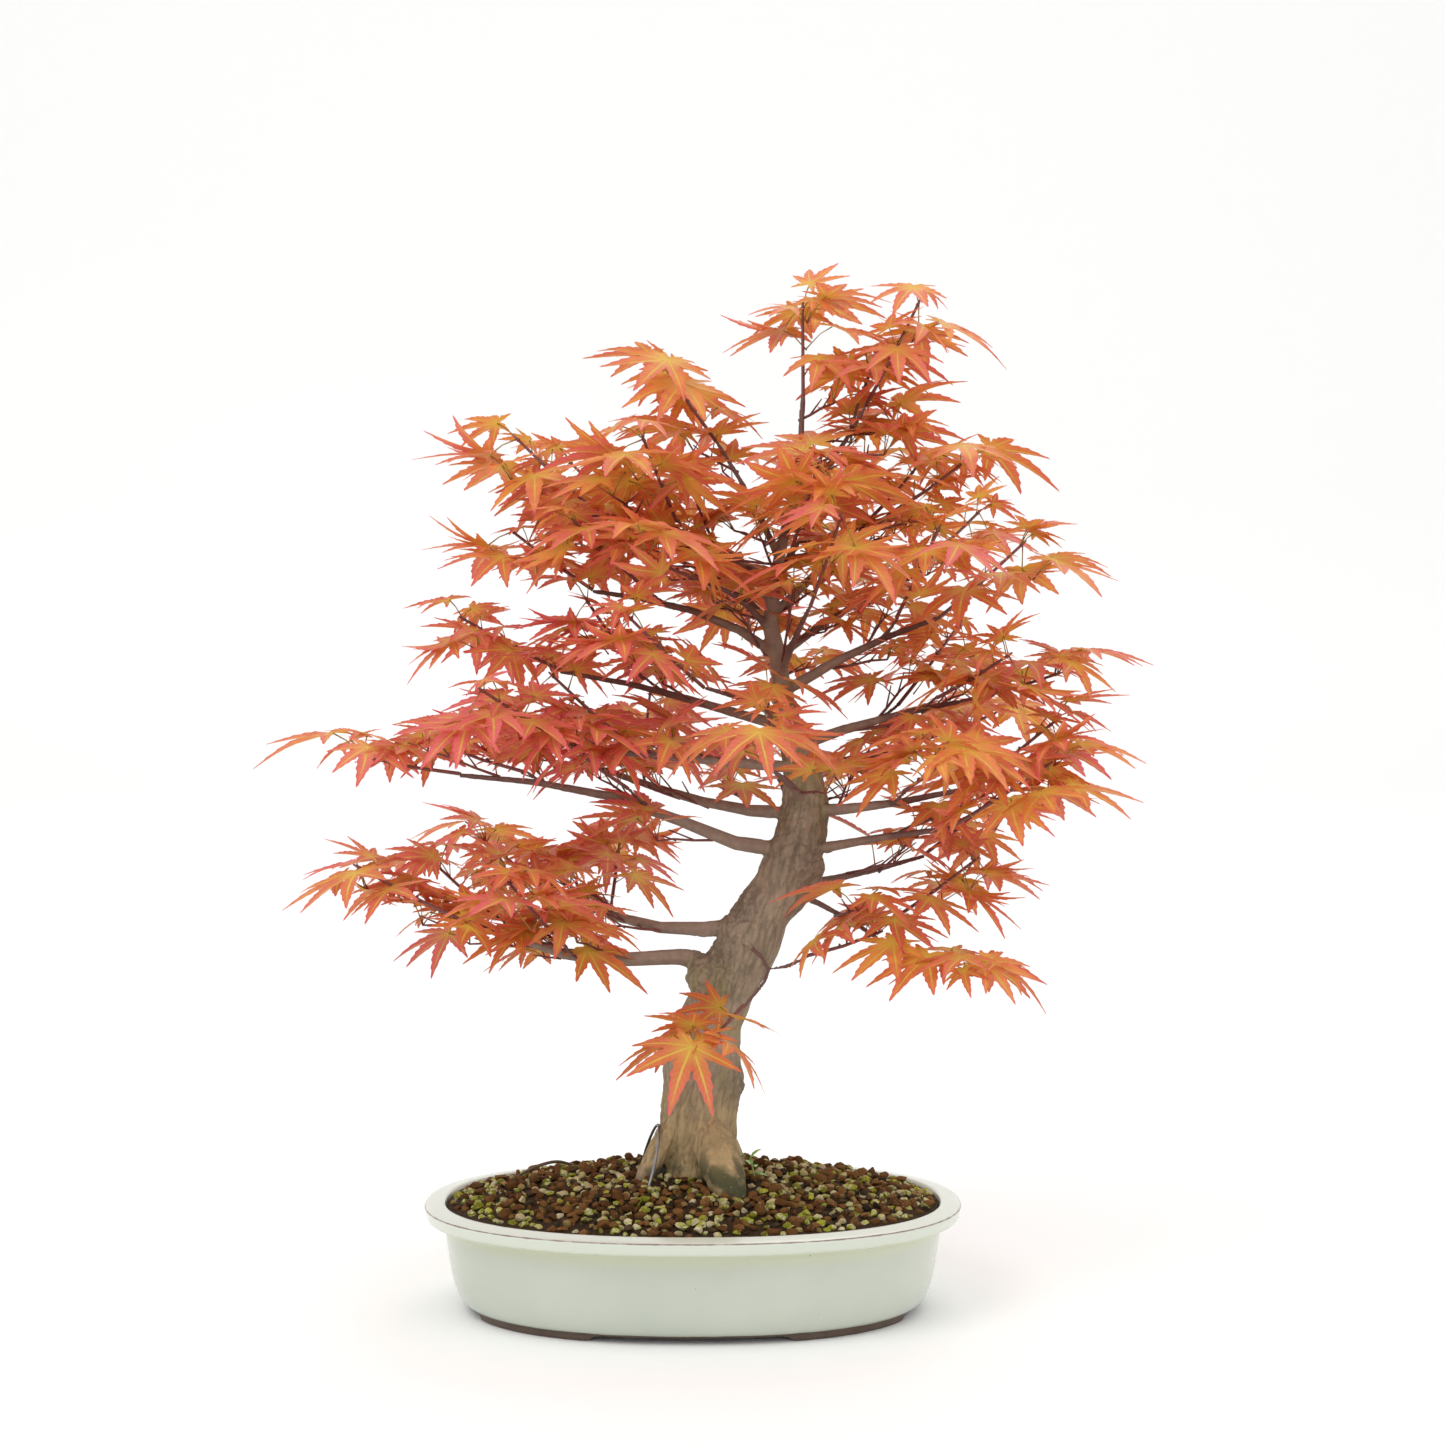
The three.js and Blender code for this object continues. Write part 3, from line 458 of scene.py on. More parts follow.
# The leafy twigs. Each plain twig gives the place, heading and size of its leaves: a leaf's middle
# is a point where fourteen facets meet. Fourteen also meet under some leaves and at a few other
# points, so some leaves are grown that the plain twig doesn't have. Round each point a leaf is
# grown, with seven toothed lobes, and the twig is drawn again through the feet of the petioles.
LEAF_SCALE = 0.044
PETIOLE_SHARE = 20 / 44
PETIOLE_RISE = math.radians(50)
LOBES = [(-126, 0.4, 2), (-78, 0.7, 4), (-38, 0.9, 5), (0, 1.0, 5), (38, 0.9, 5), (78, 0.7, 4), (126, 0.4, 2)]
NOTCHES = [(-180, 0.05), (-101, 0.16), (-58, 0.225), (-19, 0.265), (19, 0.265), (58, 0.225), (101, 0.16),
           (180, 0.05)]
LEAF_FIELDS = ("rib", "along", "tint", "young", "stalk")


class Growth:
    """Points, faces and per-point values of one piece of the foliage."""

    def __init__(self):
        self.points, self.faces = [], []
        self.fields = {name: [] for name in LEAF_FIELDS}

    def point(self, place, **values):
        self.points.append(place)
        for name in LEAF_FIELDS:
            self.fields[name].append(values.get(name, 0.0))
        return len(self.points) - 1

    def tube(self, route, radii, sides, **values):
        rings = []
        for i, (spot, radius) in enumerate(zip(route, radii)):
            ahead = (route[min(i + 1, len(route) - 1)] - route[max(i - 1, 0)]).normalized()
            across = ahead.cross(Vector((0.31, 0.17, 0.93))).normalized()
            other = ahead.cross(across)
            turns = [2 * math.pi * k / sides for k in range(sides)]
            rings.append([self.point(spot + (across * math.cos(t) + other * math.sin(t)) * radius,
                                     along=i / (len(route) - 1), **values) for t in turns])
        for low, high in zip(rings, rings[1:]):
            for k in range(sides):
                n = (k + 1) % sides
                self.faces.append((low[k], low[n], high[n], high[k]))
        self.faces.append(tuple(reversed(rings[0])))
        self.faces.append(tuple(rings[-1]))

    def piece(self, name, material, slot):
        mesh = bpy.data.meshes.new(name)
        mesh.from_pydata([tuple(p) for p in self.points], [], self.faces)
        for field, values in self.fields.items():
            mesh.attributes.new(field, "FLOAT", "POINT").data.foreach_set("value", values)
        mesh.materials.append(material)
        mesh.shade_smooth()
        obj = bpy.data.objects.new(name, mesh)
        scene.collection.objects.link(obj)
        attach(obj, "root")
        return obj


def petiole_foot(leaf):
    reach = PETIOLE_SHARE * leaf["length"]
    return leaf["base"] - reach * (math.cos(PETIOLE_RISE) * leaf["heading"]
                                   + math.sin(PETIOLE_RISE) * leaf["normal"])


def grow_leaf(growth, leaf, luck):
    base, heading, normal, length = leaf["base"], leaf["heading"], leaf["normal"], leaf["length"]
    side = normal.cross(heading)
    tint, young = luck.random(), leaf["young"]
    tint = min(1.0, tint + 2.4 * max(0.0, base.z - 0.4))
    fold = luck.uniform(0.1, 0.42) + 0.2 * young
    droop = leaf["droop"]
    narrow = 1 - 0.22 * young

    def put(u, v, lift, rib):
        reach = math.hypot(u, v)
        sag = droop * reach ** 1.75 + 0.06 * max(0.0, reach - 0.6)
        spot = base + length * (heading * u + side * v + normal * (lift - sag))
        return growth.point(spot, rib=rib, along=reach, tint=tint, young=young)

    middle = put(0, 0, 0, 0)
    notches = []
    for turn, reach in NOTCHES[:-1]:
        turn = math.radians(turn + luck.uniform(-2, 2))
        notches.append(put(reach * math.cos(turn), reach * math.sin(turn), 0.05 * fold, 1.0))
    notches.append(notches[0])
    for i, (turn, reach, teeth) in enumerate(LOBES):
        turn = math.radians(turn + luck.uniform(-5, 5))
        reach *= luck.uniform(0.9, 1.06)
        sway, dip = luck.uniform(-0.09, 0.09), luck.uniform(-0.10, 0.14)
        axis = (math.cos(turn), math.sin(turn))

        def on_lobe(a, h, lift, rib):
            h += sway * (a / reach) ** 2 * reach
            return put(axis[0] * a - axis[1] * h, axis[1] * a + axis[0] * h,
                       lift - dip * reach * (a / reach) ** 2, rib)

        start = 0.30 * reach
        ribs = [middle] + [on_lobe(start + (reach - start) * k / teeth, 0, 0, 0) for k in range(1, teeth)]
        tip = on_lobe(reach, 0, 0, 0.7)
        for hand, corner in ((-1, i), (1, i + 1)):
            notch_turn, notch_reach = NOTCHES[corner]
            swing = math.radians(abs(notch_turn - LOBES[i][0]))
            from_a, from_h = notch_reach * math.cos(swing), notch_reach * math.sin(swing)
            valleys, peaks = [notches[corner]], []
            for k in range(teeth):
                for share, rib in ((k + 0.66, 1.0), (k + 1.0, 0.86)):
                    q = share / teeth
                    if q > 0.999:
                        continue
                    a = from_a + (reach - from_a) * q
                    h = from_h * (1 - q) + 0.046 * narrow * reach * math.sin(math.pi * q ** 0.75)
                    if rib == 1.0:
                        h += (0.024 * (1 - q) + 0.006) * luck.uniform(0.6, 1.3)
                        a += 0.012
                    spot = on_lobe(a, hand * h, fold * h, rib)
                    (peaks if rib == 1.0 else valleys).append(spot)
            valleys.append(tip)
            spine = ribs + [tip]
            for k in range(teeth):
                loop = [spine[k], spine[k + 1], valleys[k + 1], peaks[k], valleys[k]]
                loop = [p for n, p in enumerate(loop) if p not in loop[:n]]
                growth.faces.append(tuple(loop) if hand > 0 else tuple(reversed(loop)))
    foot = petiole_foot(leaf)
    arch = foot.lerp(base, 0.55) + Vector((0, 0, 0.08 * length * PETIOLE_SHARE))
    growth.tube([foot, foot.lerp(arch, 0.55), arch, base - normal * 0.0003],
                [0.00055, 0.0004, 0.00036, 0.0005], 4,
                stalk=1.0, tint=tint, young=young)


def leaves_of(node):
    """The leaves of a plain twig, and the points of it that belong to none of their blades."""
    work = bmesh.new()
    work.from_mesh(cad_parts[node].data)
    bmesh.ops.remove_doubles(work, verts=work.verts, dist=2e-6)
    found, blades = [], set()
    for crown in work.verts:
        ring = [e.other_vert(crown) for e in crown.link_edges]
        if len(crown.link_faces) != 14 or len(ring) != 14:
            continue
        arms = [v.co - crown.co for v in ring]
        if not 0.025 < max(a.length for a in arms) < 0.07:
            continue
        rough_up = sum((f.normal * f.calc_area() for f in crown.link_faces), Vector())
        rough_up.normalize()
        east = arms[0].cross(rough_up).normalized()
        north = rough_up.cross(east)
        arms.sort(key=lambda a: math.atan2(a.dot(north), a.dot(east)))
        far = max(range(14), key=lambda k: arms[k].length)
        arms = arms[far:] + arms[:far]
        low = arms[1::2]
        normal = sum((a.cross(b) for a, b in zip(low, low[1:] + low[:1])), Vector()).normalized()
        if normal.dot(rough_up) < 0:
            normal.negate()
        heading = arms[0] - normal * arms[0].dot(normal)
        length = heading.length
        found.append({"base": crown.co - normal * 0.0006, "heading": heading.normalized(), "normal": normal,
                      "length": length, "droop": max(0.03, -arms[0].dot(normal) / length)})
        blades.update(v.index for v in ring)
        blades.add(crown.index)
    rest = [v.co.copy() for v in work.verts if v.index not in blades]
    work.free()
    return found, rest


def youth(place, luck):
    """Young pink leaves are commonest in the pads on the left, half way up."""
    pink = math.exp(-(((place.x + 0.10) / 0.11) ** 2 + ((place.z - 0.35) / 0.085) ** 2))
    pink += 0.55 * math.exp(-(((place.x - 0.09) / 0.07) ** 2 + ((place.z - 0.28) / 0.05) ** 2))
    stray = 0.55 if luck.random() < 0.12 else 0.0
    return min(1.0, max(0.0, 0.75 * pink + stray + luck.gauss(0.1, 0.2)))


def seat_leaf(foot, flat, length, pitch, bank, droop, young):
    """A leaf whose petiole stands on foot."""
    up = Vector((0, 0, 1))
    heading = flat * math.cos(pitch) - up * math.sin(pitch)
    normal = (up - heading * up.dot(heading)).normalized()
    normal.rotate(Matrix.Rotation(bank, 3, heading))
    leaf = {"base": Vector(), "heading": heading, "normal": normal, "length": length, "droop": droop,
            "young": young}
    leaf["base"] = foot - petiole_foot(leaf)
    return leaf


def turned(direction, degrees):
    out = direction.copy()
    out.rotate(Matrix.Rotation(math.radians(degrees), 3, "Z"))
    return out


# The leaf's colours: yellow-green along the ribs, orange between, pink-red at the margins and tips.
leaf_group = bpy.data.node_groups.new("leaf_colours", "ShaderNodeTree")
for name, kind in (("Colour", "NodeSocketColor"), ("Roughness", "NodeSocketFloat"),
                   ("Relief", "NodeSocketFloat")):
    leaf_group.interface.new_socket(name, in_out="OUTPUT", socket_type=kind)
hue = Paint("", leaf_group)
rib, along = hue.attribute("rib"), hue.attribute("along")
tint, young = hue.attribute("tint"), hue.attribute("young")
flesh = hue.blend(hue.range(tint, 0.0, 1.0), (0.71, 0.20, 0.046), (0.87, 0.38, 0.080))
flesh = hue.blend(hue.range(hue.noise(55, 4), 0.35, 0.7), flesh, (0.72, 0.19, 0.075))
margin = hue.math("ADD", hue.math("MULTIPLY", rib, 0.55), hue.math("MULTIPLY", along, 0.62))
flesh = hue.blend(hue.range(margin, 0.55, 1.12), flesh, (0.74, 0.140, 0.125))
flesh = hue.blend(hue.math("MULTIPLY", young, 0.85), flesh,
                  hue.blend(hue.range(margin, 0.2, 1.0), (0.80, 0.19, 0.165), (0.74, 0.115, 0.165)))
heart = hue.math("MULTIPLY", hue.range(along, 0.40, 0.03),
                 hue.math("SUBTRACT", 1.0, hue.math("MULTIPLY", young, 0.6)))
flesh = hue.blend(hue.math("MULTIPLY", heart, 0.75), flesh, (0.84, 0.58, 0.09))
main_vein = hue.math("MULTIPLY", hue.range(rib, 0.17, 0.05), hue.range(along, 1.0, 0.35))
side_phase = hue.math("FRACT", hue.math("SUBTRACT", hue.math("MULTIPLY", along, 11.0),
                                        hue.math("MULTIPLY", rib, 1.6)))
side_vein = hue.math("MULTIPLY", hue.range(hue.math("ABSOLUTE", hue.math("SUBTRACT", side_phase, 0.5)), 0.13,
                                           0.04), hue.range(rib, 0.95, 0.5))
flesh = hue.blend(hue.math("MULTIPLY", side_vein, 0.26), flesh, (0.86, 0.46, 0.12))
flesh = hue.blend(hue.math("MULTIPLY", main_vein, 0.85), flesh, (0.80, 0.64, 0.10))
stalk = hue.blend(hue.range(hue.math("ADD", along, hue.math("MULTIPLY", tint, 0.5)), 0.1, 0.9),
                  (0.42, 0.055, 0.045), (0.50, 0.36, 0.07))
flesh = hue.blend(hue.attribute("stalk"), flesh, stalk)
out = hue.node("NodeGroupOutput")
hue.join(flesh, out.inputs["Colour"])
rough = hue.math("ADD", hue.math("MULTIPLY", hue.noise(200, 2), 0.15), 0.42)
hue.join(rough, out.inputs["Roughness"])
hue.join(hue.math("ADD", hue.math("MULTIPLY", side_vein, 0.4), hue.math("MULTIPLY", main_vein, 1.0)),
         out.inputs["Relief"])

leaf_paint = Paint("maple_leaf")
colours = leaf_paint.node("ShaderNodeGroup", node_tree=leaf_group)
bump = leaf_paint.bump(colours.outputs["Relief"], 0.35, 0.0004)
leaf_material = leaf_paint.finish(colours.outputs["Colour"], colours.outputs["Roughness"], bump)
shader = leaf_paint.tree.nodes["Principled BSDF"]
through = leaf_paint.node("ShaderNodeBsdfTranslucent")
leaf_paint.join(colours.outputs["Colour"], through.inputs["Color"])
mixed = leaf_paint.node("ShaderNodeMixShader")
mixed.inputs["Fac"].default_value = 0.40
leaf_paint.join(shader.outputs["BSDF"], mixed.inputs[1])
leaf_paint.join(through.outputs["BSDF"], mixed.inputs[2])
leaf_paint.join(mixed.outputs["Shader"], leaf_paint.tree.nodes["Material Output"].inputs["Surface"])

twig_paint = Paint("young_twig")
twig_tone = twig_paint.blend(twig_paint.noise(260, 3), (0.10, 0.028, 0.030), (0.26, 0.075, 0.055))
twig_material = twig_paint.finish(twig_tone, 0.5, twig_paint.bump(twig_paint.noise(500, 3), 0.3, 0.0005))

wood_tree = BVHTree.FromObject(wood, bpy.context.evaluated_depsgraph_get())
starts = []
sprays = sorted(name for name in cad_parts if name.startswith("leafy_twig_"))
for number, node in enumerate(sprays):
    luck = random.Random(400 + number)
    leaves, rest = leaves_of(node)
    start = min(rest, key=lambda p: wood_tree.find_nearest(p)[3])
    feet = sorted((petiole_foot({**leaf, "young": 0}) for leaf in leaves), key=lambda f: (f - start).length)
    end = feet[-1]
    bend = start.lerp(end, 0.5) + Vector((0, 0, -0.0012))
    starts.append(start)
    root = wood_tree.find_nearest(start)[0]
    twig, foliage = Growth(), Growth()
    twig.tube([root, start, start.lerp(bend, 0.5), bend, bend.lerp(end, 0.5), end, end
               + (end - bend).normalized() * 0.003],
              [0.00135, 0.0012, 0.00115, 0.00105, 0.001, 0.0009, 0.0005], 7)
    for share in (0.45, 0.62, 0.98):
        joint = start.lerp(end, share)
        twig.tube([joint - (end - start) * 0.012, joint, joint + (end - start) * 0.012],
                  [0.0009, 0.0014, 0.0009], 7)
    ahead = end - start
    ahead.z = 0
    ahead.normalize()
    for leaf in leaves:
        leaf["young"] = youth(leaf["base"], luck)
        grow_leaf(foliage, leaf, luck)
    for _ in range(4):
        share = luck.choice((0.55, 0.8, 0.97, 1.0))
        flat = turned(ahead, luck.uniform(-150, 150))
        fresh = youth(end, luck) + 0.15
        extra = seat_leaf(start.lerp(end, share), flat, LEAF_SCALE * luck.uniform(0.5, 0.85),
                          math.radians(luck.uniform(-36, 30)),
                          math.radians(luck.uniform(-30, 30)), luck.uniform(0.0, 0.24), min(1.0, fresh))
        grow_leaf(foliage, extra, luck)
    tail = node[-2:]
    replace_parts(foliage.piece("leaves_" + tail, leaf_material, "leaf"), node)
    twig.piece("twig_" + tail, twig_material, "bark")

# Short inner twigs between the leafy ones, which fill the crown close to its branches.
luck = random.Random(77)
inner_twigs, inner_leaves = Growth(), Growth()
# Each pass: the band of heights, how far right it goes, how many twigs, and how far apart they stand.
for bottom, top, right, count, apart in ((0.21, 1, 1, 64, 0.021), (0.45, 1, 1, 24, 0.014),
                                         (0.195, 0.285, -0.03, 26, 0.012)):
    thin = np.flatnonzero((thick < 0.0075) & (spots[:, 2] > bottom) & (spots[:, 2] < top) & (spots[:,
            0] < right))
    order = thin[np.random.default_rng(5).permutation(len(thin))]
    full = len(starts) + count
    for i in order:
        if len(starts) >= full:
            break
        root = Vector(spots[i])
        if min((root - s).length for s in starts) < apart:
            continue
        starts.append(root)
        outward = Vector((root.x - 0.045, root.y, 0)).normalized()
        outward = (outward + Vector((luck.uniform(-0.9, 0.9), luck.uniform(-0.9, 0.9),
                                     luck.uniform(0.0, 0.6)))).normalized()
        end = root + outward * luck.uniform(0.022, 0.046)
        if wood_tree.find_nearest(end)[3] < 0.006:
            continue
        route = [root - outward * 0.001, root.lerp(end, 0.35), root.lerp(end, 0.7) + Vector((0, 0, 0.001)),
                 end]
        inner_twigs.tube(route, [0.0010, 0.00085, 0.0008, 0.0006], 6)
        for share in (0.3, 0.65):
            fork = turned(outward, luck.choice((-1, 1)) * luck.uniform(30, 65)) + Vector((0, 0,
                    luck.uniform(0, 0.5)))
            joint = root.lerp(end, share)
            tip = joint + fork.normalized() * luck.uniform(0.010, 0.022)
            inner_twigs.tube([joint, joint.lerp(tip, 0.5), tip], [0.0006, 0.00055, 0.0004], 5)
        flat_out = Vector((outward.x, outward.y, 0)).normalized()
        for turn in (-8, 75, -75, 165)[: luck.choice((3, 4, 4))]:
            foot = root.lerp(end, 1.0 if turn != 165 else 0.6)
            heading = turned(flat_out, turn + luck.uniform(-25, 25))
            leaf = seat_leaf(foot, heading, LEAF_SCALE * luck.uniform(0.62, 1.0),
                             math.radians(luck.uniform(-36, 30)),
                             math.radians(luck.uniform(-28, 28)), luck.uniform(0.0, 0.2), youth(end, luck))
            grow_leaf(inner_leaves, leaf, luck)
inner_leaves.piece("inner_leaves", leaf_material, "leaf")
inner_twigs.piece("inner_twigs", twig_material, "bark")

# The soil: the plain bed stays as it is, painted nearly black as earth and as painted shade in the gaps
# between the grains, and sieved grains lie over it in two layers: brown baked clay, cream pumice, dark lava,
# tan river grit, and grains gone green.
SOIL_EDGE, SOIL_MOUND, INNER_REACH = 0.0635, 0.019, 0.152


def soil_height(x, y):
    across = math.hypot(x / INNER_REACH, y / (INNER_REACH - NARROWING))
    mound = SOIL_MOUND * max(0.0, 1 - across ** 1.8) + y * 0.03 * (1 - min(1.0, across))
    lumps = math.sin(x * 110 + 1) * math.cos(y * 130) + 0.6 * math.sin(x * 50 - y * 90)
    return SOIL_EDGE + mound + 0.0016 * lumps * max(0.0, 1 - across), across


# Painted shade: the bed is painted nearly black, so the gaps between the grains read as shade.
earth = Paint("earth_and_gap_shade")
earth_and_gap_shade_tone = earth.blend(earth.noise(300, 4), (0.018, 0.011, 0.006), (0.07, 0.04, 0.02))
earth_and_gap_shade_material = earth.finish(earth_and_gap_shade_tone, 0.95, earth.bump(earth.noise(500, 5), 1.0, 0.002),
                              Specular_IOR_Level=0.15)
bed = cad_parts["soil"]
bed.data.materials.clear()
bed.data.materials.append(earth_and_gap_shade_material)


def grain_paint(name, dark, light, speck, speck_share, coat=None, coat_share=0.0, rough=0.9):
    paint = Paint(name)
    tone = paint.blend(paint.attribute("tint"), dark, light)
    if coat:
        tone = paint.blend(paint.range(paint.noise(230, 3), 0.62 - coat_share, 0.68 - coat_share), tone, coat)
    tone = paint.blend(paint.math("MULTIPLY", paint.noise(420, 4, 0.7), 0.55), tone,
                       tuple(0.45 * c for c in dark))
    specks = paint.range(paint.noise(760, 3, 0.6), 1 - speck_share, 1 - speck_share + 0.06)
    tone = paint.blend(specks, tone, speck)
    relief = paint.math("ADD", paint.noise(700, 5, 0.7),
                        paint.math("MULTIPLY", paint.cells(1100)["Distance"], -0.5))
    return paint.finish(tone, rough, paint.bump(relief, 0.9, 0.0009), Specular_IOR_Level=0.15)


# name, share, size in metres and paint; green grows in patches and most at the edge
grain_kinds = [
    ("akadama", 0.42, (0.0046, 0.0104), grain_paint("baked_clay", (0.085, 0.034, 0.009), (0.26, 0.120, 0.036),
                                                    (0.36, 0.20, 0.07), 0.36)),
    ("lava", 0.13, (0.0042, 0.0074), grain_paint("dark_lava", (0.028, 0.018, 0.010), (0.095, 0.060, 0.030),
                                                 (0.14, 0.085, 0.04), 0.34)),
    ("pumice", 0.155, (0.0042, 0.0084), grain_paint("cream_pumice", (0.40, 0.30, 0.14), (0.80, 0.71, 0.46),
                                                    (0.30, 0.20, 0.08), 0.33, (0.50, 0.52, 0.13), 0.10)),
    ("grit", 0.095, (0.0040, 0.0068), grain_paint("tan_grit", (0.22, 0.14, 0.045), (0.45, 0.32, 0.13),
                                                  (0.12, 0.07, 0.02), 0.36)),
    ("mossy", 0.21, (0.0044, 0.0088), grain_paint("mossy_grain", (0.16, 0.155, 0.012), (0.50, 0.52, 0.060),
                                                  (0.14, 0.08, 0.02), 0.42, (0.66, 0.62, 0.34), 0.12)),
]
grain_luck = random.Random(2024)
grain_shapes = []
for _ in range(14):
    work = bmesh.new()
    for _ in range(19):
        spot = Vector((grain_luck.gauss(0, 1), grain_luck.gauss(0, 1), grain_luck.gauss(0, 1))).normalized()
        spot *= grain_luck.uniform(0.84, 1.0)
        work.verts.new((spot.x * 1.08, spot.y * 0.96, spot.z * 0.82))
    hull = bmesh.ops.convex_hull(work, input=work.verts)
    bmesh.ops.delete(work, geom=[v for v in work.verts if not v.link_faces], context="VERTS")
    work.verts.index_update()
    corners = np.array([v.co[:] for v in work.verts])
    grain_shapes.append((corners, [tuple(v.index for v in f.verts) for f in work.faces]))
    work.free()

seats = []
cells = {}


def far_enough(x, y, gap):
    key = (int(x // 0.008), int(y // 0.008))
    for i in (-1, 0, 1):
        for j in (-1, 0, 1):
            for px, py in cells.get((key[0] + i, key[1] + j), ()):
                if (px - x) ** 2 + (py - y) ** 2 < gap * gap:
                    return False
    cells.setdefault(key, []).append((x, y))
    return True


for layer, (tries, gap, rise) in enumerate(((15000, 0.0052, 0.1), (9000, 0.0066, 0.62))):
    cells.clear()
    for _ in range(tries):
        x, y = grain_luck.uniform(-0.151, 0.151), grain_luck.uniform(-0.113, 0.113)
        height, across = soil_height(x, y)
        if across > (0.975 if layer == 0 else 0.93) or (layer == 1 and grain_luck.random() < 0.25):
            continue
        if far_enough(x, y, gap):
            seats.append((x, y, height, across, rise))
piles = {name: ([], [], []) for name, *_ in grain_kinds}
for x, y, height, across, rise in seats:
    greener = 1.5 * max(0.0, noise.noise(Vector((x * 18, y * 18, 4.0)))) + 0.35 * across
    chances = [share * (0.55 + 2.1 * greener if name == "mossy" else 1.0) for name, share, *_ in grain_kinds]
    kind = grain_luck.choices(range(len(grain_kinds)), chances)[0]
    name, _, (small, large), _ = grain_kinds[kind]
    size = grain_luck.triangular(small, large, small + 0.35 * (large - small))
    spot = Vector((x, y, height + size * rise * 0.5)) + POT_MIDDLE
    nearest = wood_tree.find_nearest(spot)
    if nearest[3] < size * 0.42 or (spot - nearest[0]).dot(nearest[1]) < 0:
        continue
    corners, faces = grain_luck.choice(grain_shapes)
    spin = np.array(Matrix.Rotation(grain_luck.uniform(0, 6.28), 3,
                                    "Z") @ Matrix.Rotation(grain_luck.uniform(-0.6, 0.6), 3, "X"))
    points, polygons, tints = piles[name]
    first = len(points)
    points.extend((corners * (size / 2 * np.array([1, grain_luck.uniform(0.8, 1.05),
                                                   grain_luck.uniform(0.75, 1)]))) @ spin.T + np.array(spot))
    polygons.extend(tuple(first + k for k in face) for face in faces)
    tints.extend([grain_luck.random()] * len(corners))
for name, _, _, material in grain_kinds:
    points, polygons, tints = piles[name]
    mesh = bpy.data.meshes.new("grains_" + name)
    mesh.from_pydata([tuple(p) for p in points], [], polygons)
    mesh.attributes.new("tint", "FLOAT", "POINT").data.foreach_set("value", tints)
    mesh.materials.append(material)
    obj = bpy.data.objects.new("grains_" + name, mesh)
    scene.collection.objects.link(obj)
    merge_and_turn_out(obj, 1e-7)
    mesh.shade_smooth()
    mesh.set_sharp_from_angle(angle=math.radians(48))
    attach(obj, "root")

# The small things: the wires and the drain screens are their plain shapes made round, and the
# weed seedling and the old root that lies in a loop on the soil are grown here.
metal = Paint("soft_wire")
metal_tone = metal.blend(metal.noise(180, 3), (0.12, 0.12, 0.13), (0.34, 0.34, 0.35))
metal_material = metal.finish(metal_tone, 0.42, metal.bump(metal.noise(400, 3), 0.3, 0.0003), Metallic=0.85)
mesh_paint = Paint("screen_plastic")
mesh_tone = mesh_paint.blend(mesh_paint.noise(150, 3), (0.012, 0.013, 0.012), (0.035, 0.036, 0.032))
mesh_material = mesh_paint.finish(mesh_tone, 0.55, mesh_paint.bump(mesh_paint.noise(600, 2), 0.25, 0.0003))


def rounded(node, material, swell):
    obj = bpy.data.objects.new(node + "_round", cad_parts[node].data.copy())
    scene.collection.objects.link(obj)
    obj.data.materials.clear()
    obj.data.materials.append(material)
    merge_and_turn_out(obj, 1e-6)
    bpy.context.view_layer.objects.active = obj
    if swell:
        smooth = obj.modifiers.new("round", "SUBSURF")
        smooth.levels = smooth.render_levels = 2
        bpy.ops.object.modifier_apply(modifier=smooth.name)
        places = vertex_array(obj.data) + swell * vertex_array(obj.data, "normal")
        obj.data.vertices.foreach_set("co", places.ravel())
        obj.data.shade_smooth()
    else:
        edge = obj.modifiers.new("edge", "BEVEL")
        edge.width, edge.segments, edge.limit_method = 0.00025, 2, "ANGLE"
        bpy.ops.object.modifier_apply(modifier=edge.name)
    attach(obj, "root")
    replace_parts(obj, node)


rounded("tie_down_wire", metal_material, 0.00022)
for side in ("left", "right"):
    rounded("screen_clip_" + side, metal_material, 0.00012)
    rounded("drain_screen_" + side, mesh_material, 0.0)

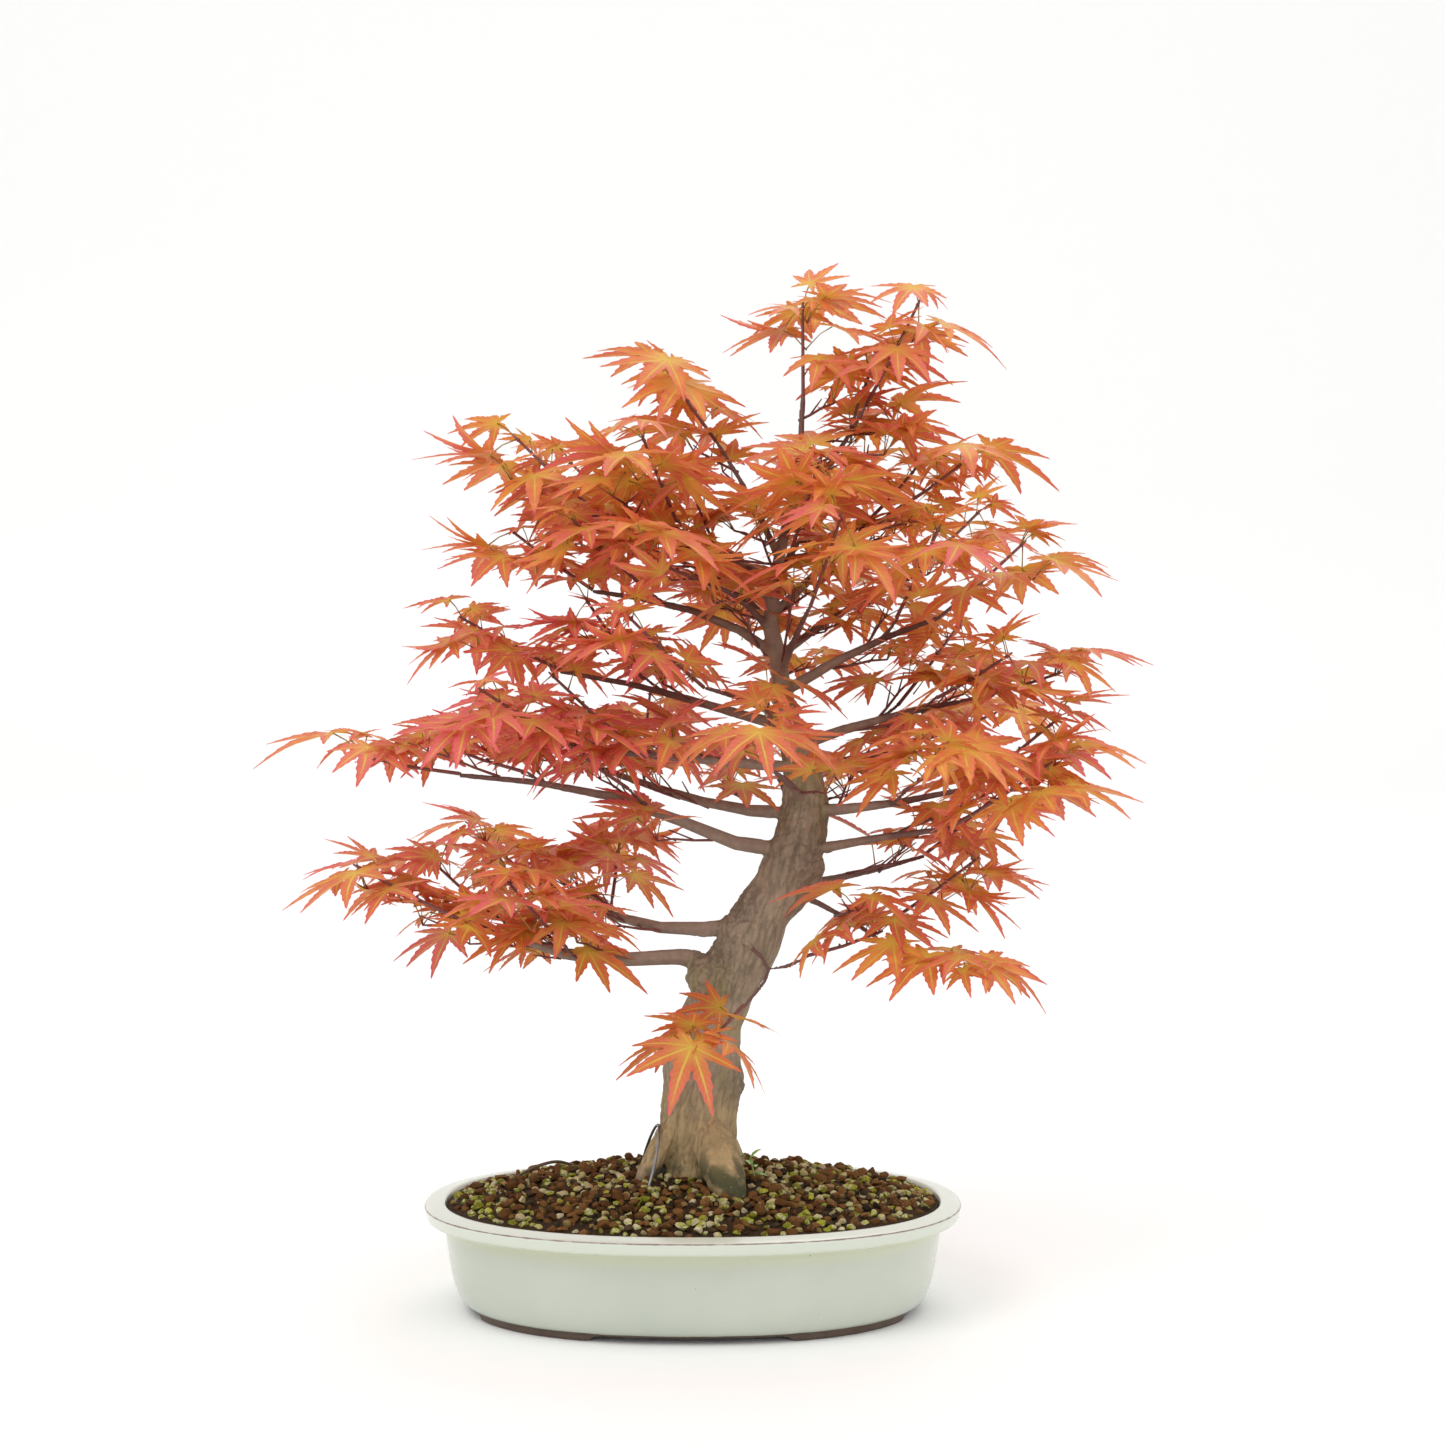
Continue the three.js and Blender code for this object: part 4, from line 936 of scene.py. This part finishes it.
weed_paint = Paint("seedling_green")
weed_tone = weed_paint.blend(weed_paint.range(weed_paint.attribute("rib"), 0.15, 0.7), (0.42, 0.62, 0.16),
                             (0.17, 0.44, 0.08))
weed_tone = weed_paint.blend(weed_paint.attribute("stalk"), weed_tone, (0.26, 0.33, 0.10))
weed_material = weed_paint.finish(weed_tone, 0.5, weed_paint.bump(weed_paint.attribute("rib"), 0.3, 0.0004))
weed = Growth()
weed_foot = Vector((0.038, -0.026, 0)) + POT_MIDDLE
weed_foot.z = soil_height(0.038, -0.026)[0] + 0.0005
stem = [weed_foot + Vector(step) for step in ((0, 0, 0), (-0.0008, 0, 0.005), (-0.0018, 0.0006, 0.0095),
                                              (-0.0032, 0.001, 0.0135))]
weed.tube(stem, [0.0007, 0.0006, 0.0005, 0.0003], 6, stalk=1.0)
for k, (step, turn, lift, length) in enumerate(((3, 20, 50, 0.0095), (3, 195, 35, 0.0088),
                                                (2, 110, 25, 0.0096), (2, -75, 20, 0.0094), (1, -20, 8,
                                                                                             0.0080))):
    aim = turned(Vector((1, 0, 0)), turn) * math.cos(math.radians(lift)) + Vector((0, 0,
            math.sin(math.radians(lift))))
    beside = aim.cross(Vector((0, 0, 1))).normalized()
    above = beside.cross(aim).normalized()
    rows = []
    for share, width in ((0.0, 0.04), (0.2, 0.12), (0.45, 0.24), (0.7, 0.22), (0.88, 0.13), (1.0, 0.01)):
        ridge = stem[step] + aim * length * share - above * length * 0.25 * share ** 2
        row = [weed.point(ridge + (beside * h * width + above * abs(h) * width * 0.35) * length, rib=abs(h))
               for h in (-1, -0.5, 0, 0.5, 1)]
        rows.append(row)
    for low, high in zip(rows, rows[1:]):
        for n in range(4):
            weed.faces.append((low[n], low[n + 1], high[n + 1], high[n]))
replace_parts(weed.piece("seedling", weed_material, "weed_leaf"), "weed_seedling")

old_root = Growth()
route = []
for k in range(19):
    share = k / 18
    x = -0.112 + 0.046 * share
    y = 0.030 - 0.016 * math.sin(share * 5.2)
    height = soil_height(x, y)[0] + 0.0022 + 0.0062 * max(0.0, math.sin(share * math.pi * 1.25))
    route.append(Vector((x, y, height)) + POT_MIDDLE)
old_root.tube(route, [0.0005 + 0.0006 * math.sin(math.pi * min(0.95, k / 18 + 0.08)) for k in range(19)], 8)
dry_paint = Paint("dry_root")
dry_tone = dry_paint.blend(dry_paint.noise(300, 4), (0.05, 0.028, 0.016), (0.19, 0.12, 0.07))
dry_material = dry_paint.finish(dry_tone, 0.85, dry_paint.bump(dry_paint.noise(700, 4), 0.6, 0.0006))
old_root.piece("old_root", dry_material, "bark")

# The last line gathers the size of the frame and of the finished object.
size = {"cad": cad_box, "visual": [list(corner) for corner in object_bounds()]}
